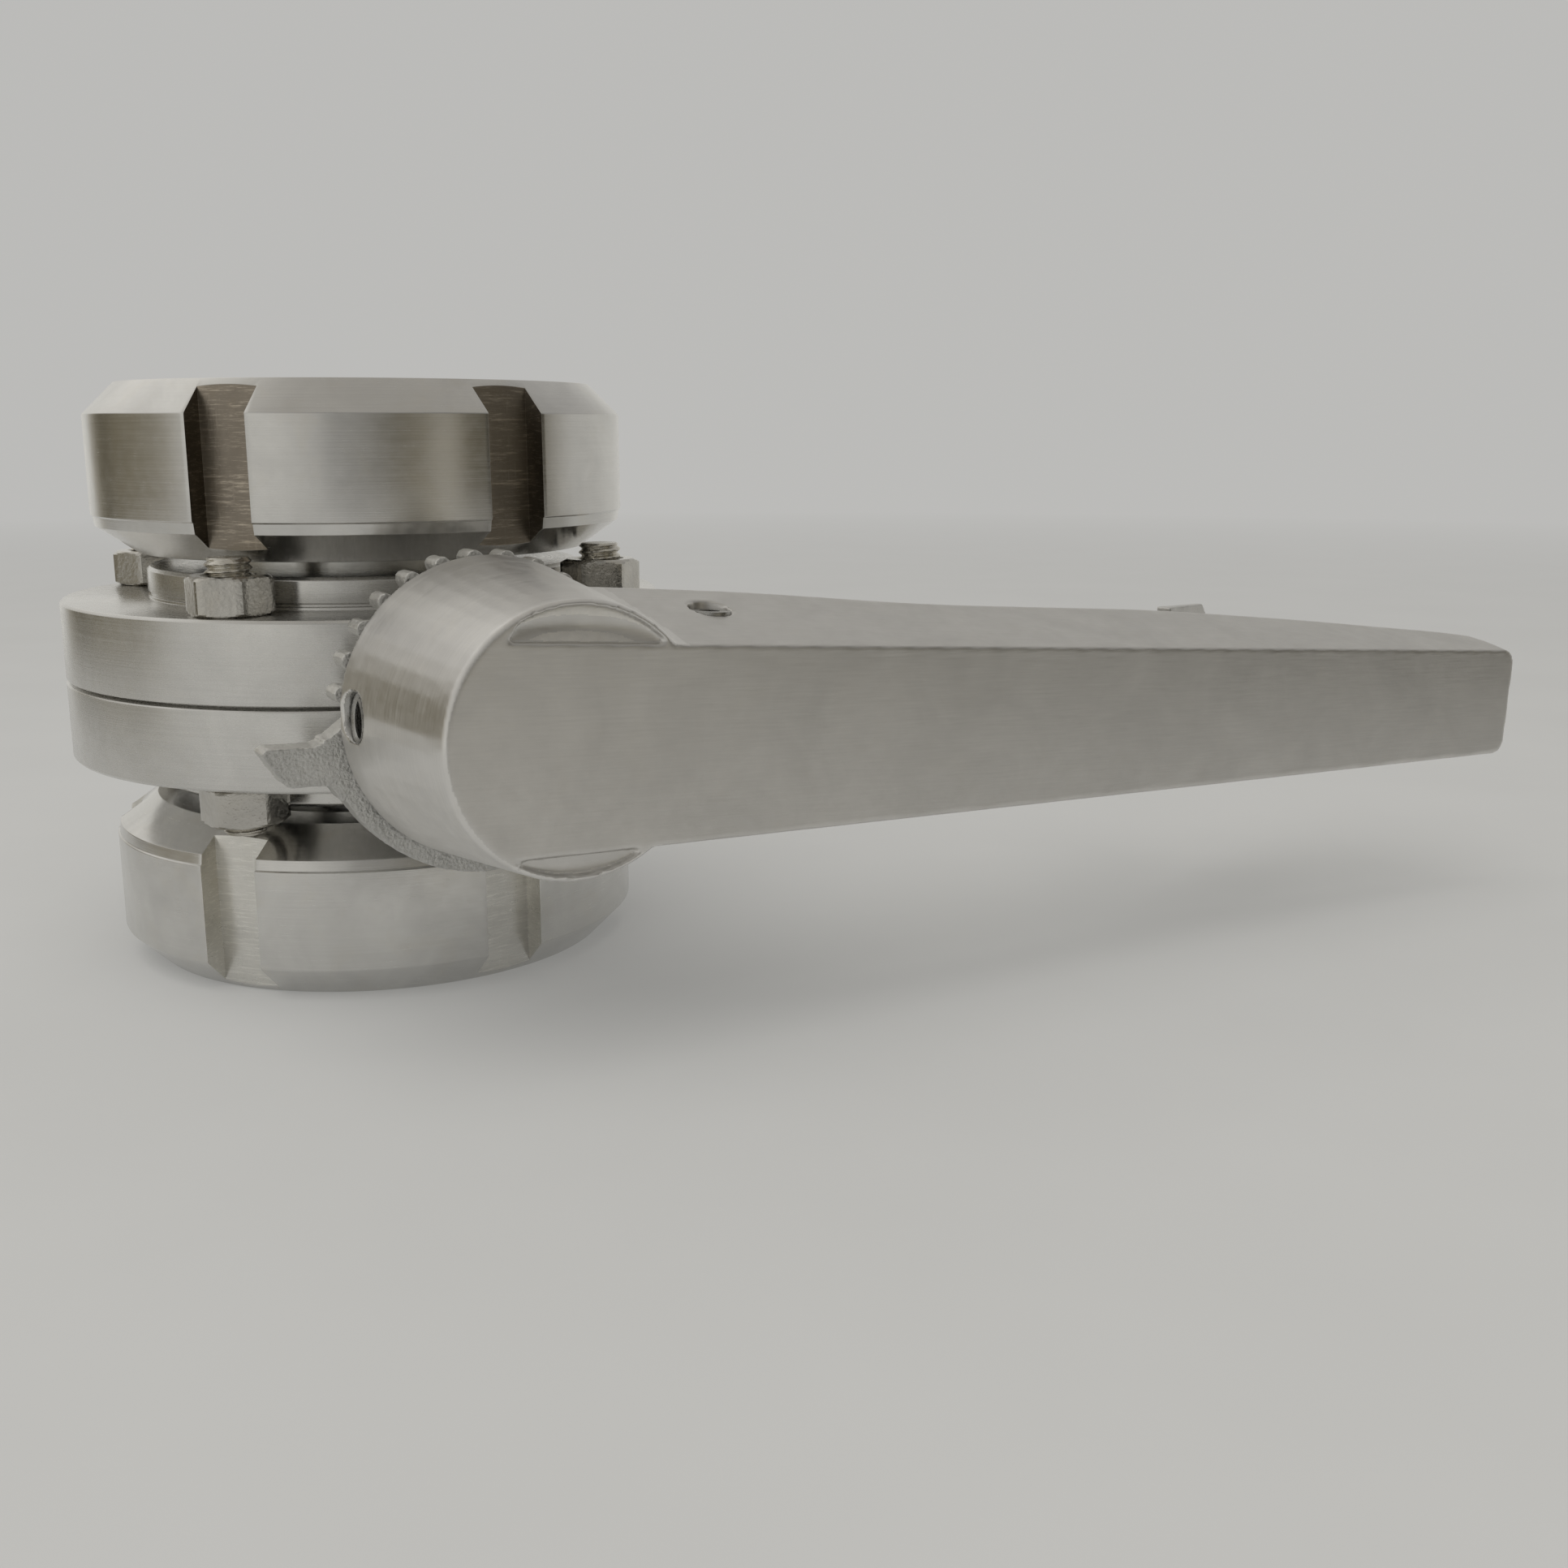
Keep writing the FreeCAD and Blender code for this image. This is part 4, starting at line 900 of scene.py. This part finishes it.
def floor_material():
    mat = Material("floor_paper")
    point = mat.position_mm()
    x, y, _ = mat.split(point)
    mottle = mat.remap(mat.noise(point, 0.02, rough=0.55), (0.3, 0.7))
    paper = mat.node("ShaderNodeBsdfDiffuse", {"Color": mat.mix(
        mottle, (PAPER, PAPER, PAPER * 0.985, 1), (PAPER * 1.04, PAPER * 1.04, PAPER * 1.025, 1))})
    distance = mat.math("SQRT", mat.math("ADD", mat.math("MULTIPLY", x, x),
                                         mat.math("MULTIPLY", y, y)))
    rays = mat.node("ShaderNodeLightPath").outputs
    camera_ray, glossy_ray = rays["Is Camera Ray"], rays["Is Glossy Ray"]
    # a constant glow mixed into the paper for camera and glossy rays lifts its shadows: painted
    # light
    shadow_lift_glow = mat.node("ShaderNodeEmission", {0: (0.515, 0.515, 0.502, 1)})
    share = mat.math("MULTIPLY", mat.math("MAXIMUM", camera_ray, glossy_ray), 0.34)
    shader = mat.mix_shader(share, paper.outputs[0], shadow_lift_glow.outputs[0])
    # far off, the paper fades to the backdrop for the camera and vanishes from reflections
    backdrop = mat.node("ShaderNodeEmission", {0: BACKDROP})
    fade = mat.math("MULTIPLY", mat.remap(distance, (350.0, 1300.0)), camera_ray)
    shader = mat.mix_shader(fade, shader, backdrop.outputs[0])
    clear = mat.node("ShaderNodeBsdfTransparent")
    fade = mat.math("MULTIPLY", mat.remap(distance, (300.0, 480.0)), glossy_ray)
    return mat.finish(mat.mix_shader(fade, shader, clear.outputs[0]))


def build_floor():
    bm = bmesh.new()
    bmesh.ops.create_circle(bm, cap_ends=True, segments=96, radius=FLOOR_RADIUS)
    mesh = bpy.data.meshes.new("floor")
    bm.to_mesh(mesh)
    bm.free()
    floor = bpy.data.objects.new("floor", mesh)
    floor.location = (0, 0, FLOOR_Z)
    coll.objects.link(floor)
    mesh.materials.append(floor_material())


build_floor()

# =====================================================================
# room light: soft bright and dim zones round the horizon under a pale upper sky
# =====================================================================
# azimuth from +X (degrees), level, warmth
HORIZON = (
    (-180, .55, 0), (-168, .60, 0), (-152, .67, 0), (-141, .66, 0), (-133, .56, 0),
    (-125, .50, 0), (-119, .34, 0), (-109, .30, .1), (-100, .23, .3), (-91, .18, .8),
    (-82, .23, .8), (-73, .36, .5), (-67, .30, .6), (-62, .14, 1), (-50, .10, 1), (-36, .05, 1),
    (-27, .12, 1), (-15, .44, .2), (-5, .52, 0), (25, .58, 0), (60, .60, 0), (95, .66, 0),
    (104, .60, 0), (110, .34, .5), (118, .15, 1), (125, .13, 1), (135, .19, 1), (150, .23, .9),
    (160, .27, .7), (168, .34, .5), (176, .50, .1),
)
# azimuth from +X (degrees), level
UPPER_SKY = (
    (-180, .62), (-120, .30), (-60, .22), (-10, .34), (60, .52), (84, .66), (98, .92),
    (110, .84), (122, .72), (150, .66), (168, .64),
)
UPPER_SKY_END = (180, (.62, .61, .58))
ZENITH = (.43, .415, .385, 1)
WINDOW = (0.12, 0.119, 0.115, 1)          # light it adds
WINDOW_DIRECTION = Vector((-0.39, 0.43, 0.81)).normalized()


def azimuth_ramp(sky, turn_share, stops):
    made = sky.node("ShaderNodeValToRGB", {0: turn_share})
    elements = made.color_ramp.elements
    elements.remove(elements[0])
    for i, (degrees, color) in enumerate(stops):
        position = (degrees + 180) / 360
        element = elements.new(position) if i else elements[0]
        element.position = position
        element.color = (*color, 1)
    return made.outputs[0]


def build_world():
    world = bpy.data.worlds.new("studio")
    scene.world = world
    world.use_nodes = True
    sky = Nodes(world.node_tree)

    def pair(operation, a, b):
        return sky.node("ShaderNodeMath", {0: a, 1: b}, operation=operation).outputs[0]

    direction = sky.node("ShaderNodeTexCoord").outputs["Generated"]
    x, y, up = sky.split(direction)
    turn_share = pair("ADD", pair("DIVIDE", pair("ARCTAN2", y, x), math.tau), 0.5)
    horizon = azimuth_ramp(sky, turn_share, [
        (a, (level, level * (.985 - .10 * warm), level * (.935 - .30 * warm)))
        for a, level, warm in HORIZON])
    upper = azimuth_ramp(sky, turn_share, [
        (a, (level, level * .98, level * .94)) for a, level in UPPER_SKY] + [UPPER_SKY_END])
    color = sky.mix(sky.remap(up, (0.15, 0.48), interpolation="SMOOTHSTEP"), horizon, upper)
    color = sky.mix(sky.remap(up, (0.68, 0.97), interpolation="SMOOTHSTEP"), color, ZENITH)
    # one soft window high up on the -X, +Y side
    toward = sky.node("ShaderNodeVectorMath", {0: direction, 1: WINDOW_DIRECTION},
                      operation="DOT_PRODUCT").outputs["Value"]
    window = sky.remap(toward, (0.93, 0.992), interpolation="SMOOTHSTEP")
    color = sky.mix(window, color, WINDOW, "ADD")
    camera_ray = sky.node("ShaderNodeLightPath").outputs["Is Camera Ray"]
    color = sky.mix(camera_ray, color, BACKDROP)
    background = sky.node("ShaderNodeBackground", {0: color, 1: 1.0})
    sky.node("ShaderNodeOutputWorld", {0: background.outputs[0]})


build_world()


# =====================================================================
# key light and camera
# =====================================================================
def key_light():
    location, target = Vector((-0.42, -0.40, 1.1)), Vector((0.03, -0.03, 0))
    light = bpy.data.lights.new("key", "AREA")
    light.shape, light.size, light.energy = "DISK", 1.75, 10.0
    light.color = (1, 0.99, 0.97)
    key = bpy.data.objects.new("key", light)
    key.location = location
    key.rotation_euler = (target - location).to_track_quat("-Z", "Y").to_euler()
    coll.objects.link(key)
    key.visible_glossy = False


def camera():
    data = bpy.data.cameras.new("camera")
    data.sensor_width = 36.0
    data.lens = 37.36583851
    data.clip_start, data.clip_end = 0.01, 50
    obj = bpy.data.objects.new("camera", data)
    # yaw turns from +Y toward +X, pitch looks down
    yaw, pitch, roll = math.radians(31.04), math.radians(12.295), math.radians(-0.05)
    x, y, z = -0.0731, -0.24225, 0.0344
    ahead = Vector((math.sin(yaw) * math.cos(pitch), math.cos(yaw) * math.cos(pitch),
                    -math.sin(pitch)))
    level = Vector((math.cos(yaw), -math.sin(yaw), 0))
    upright = level.cross(ahead)
    right = math.cos(roll) * level + math.sin(roll) * upright
    top = -math.sin(roll) * level + math.cos(roll) * upright
    obj.matrix_world = Matrix(((right.x, top.x, -ahead.x, x), (right.y, top.y, -ahead.y, y),
                               (right.z, top.z, -ahead.z, z), (0, 0, 0, 1)))
    coll.objects.link(obj)
    scene.camera = obj


key_light()
camera()
scene.view_settings.view_transform = "Standard"
scene.view_settings.look = "None"
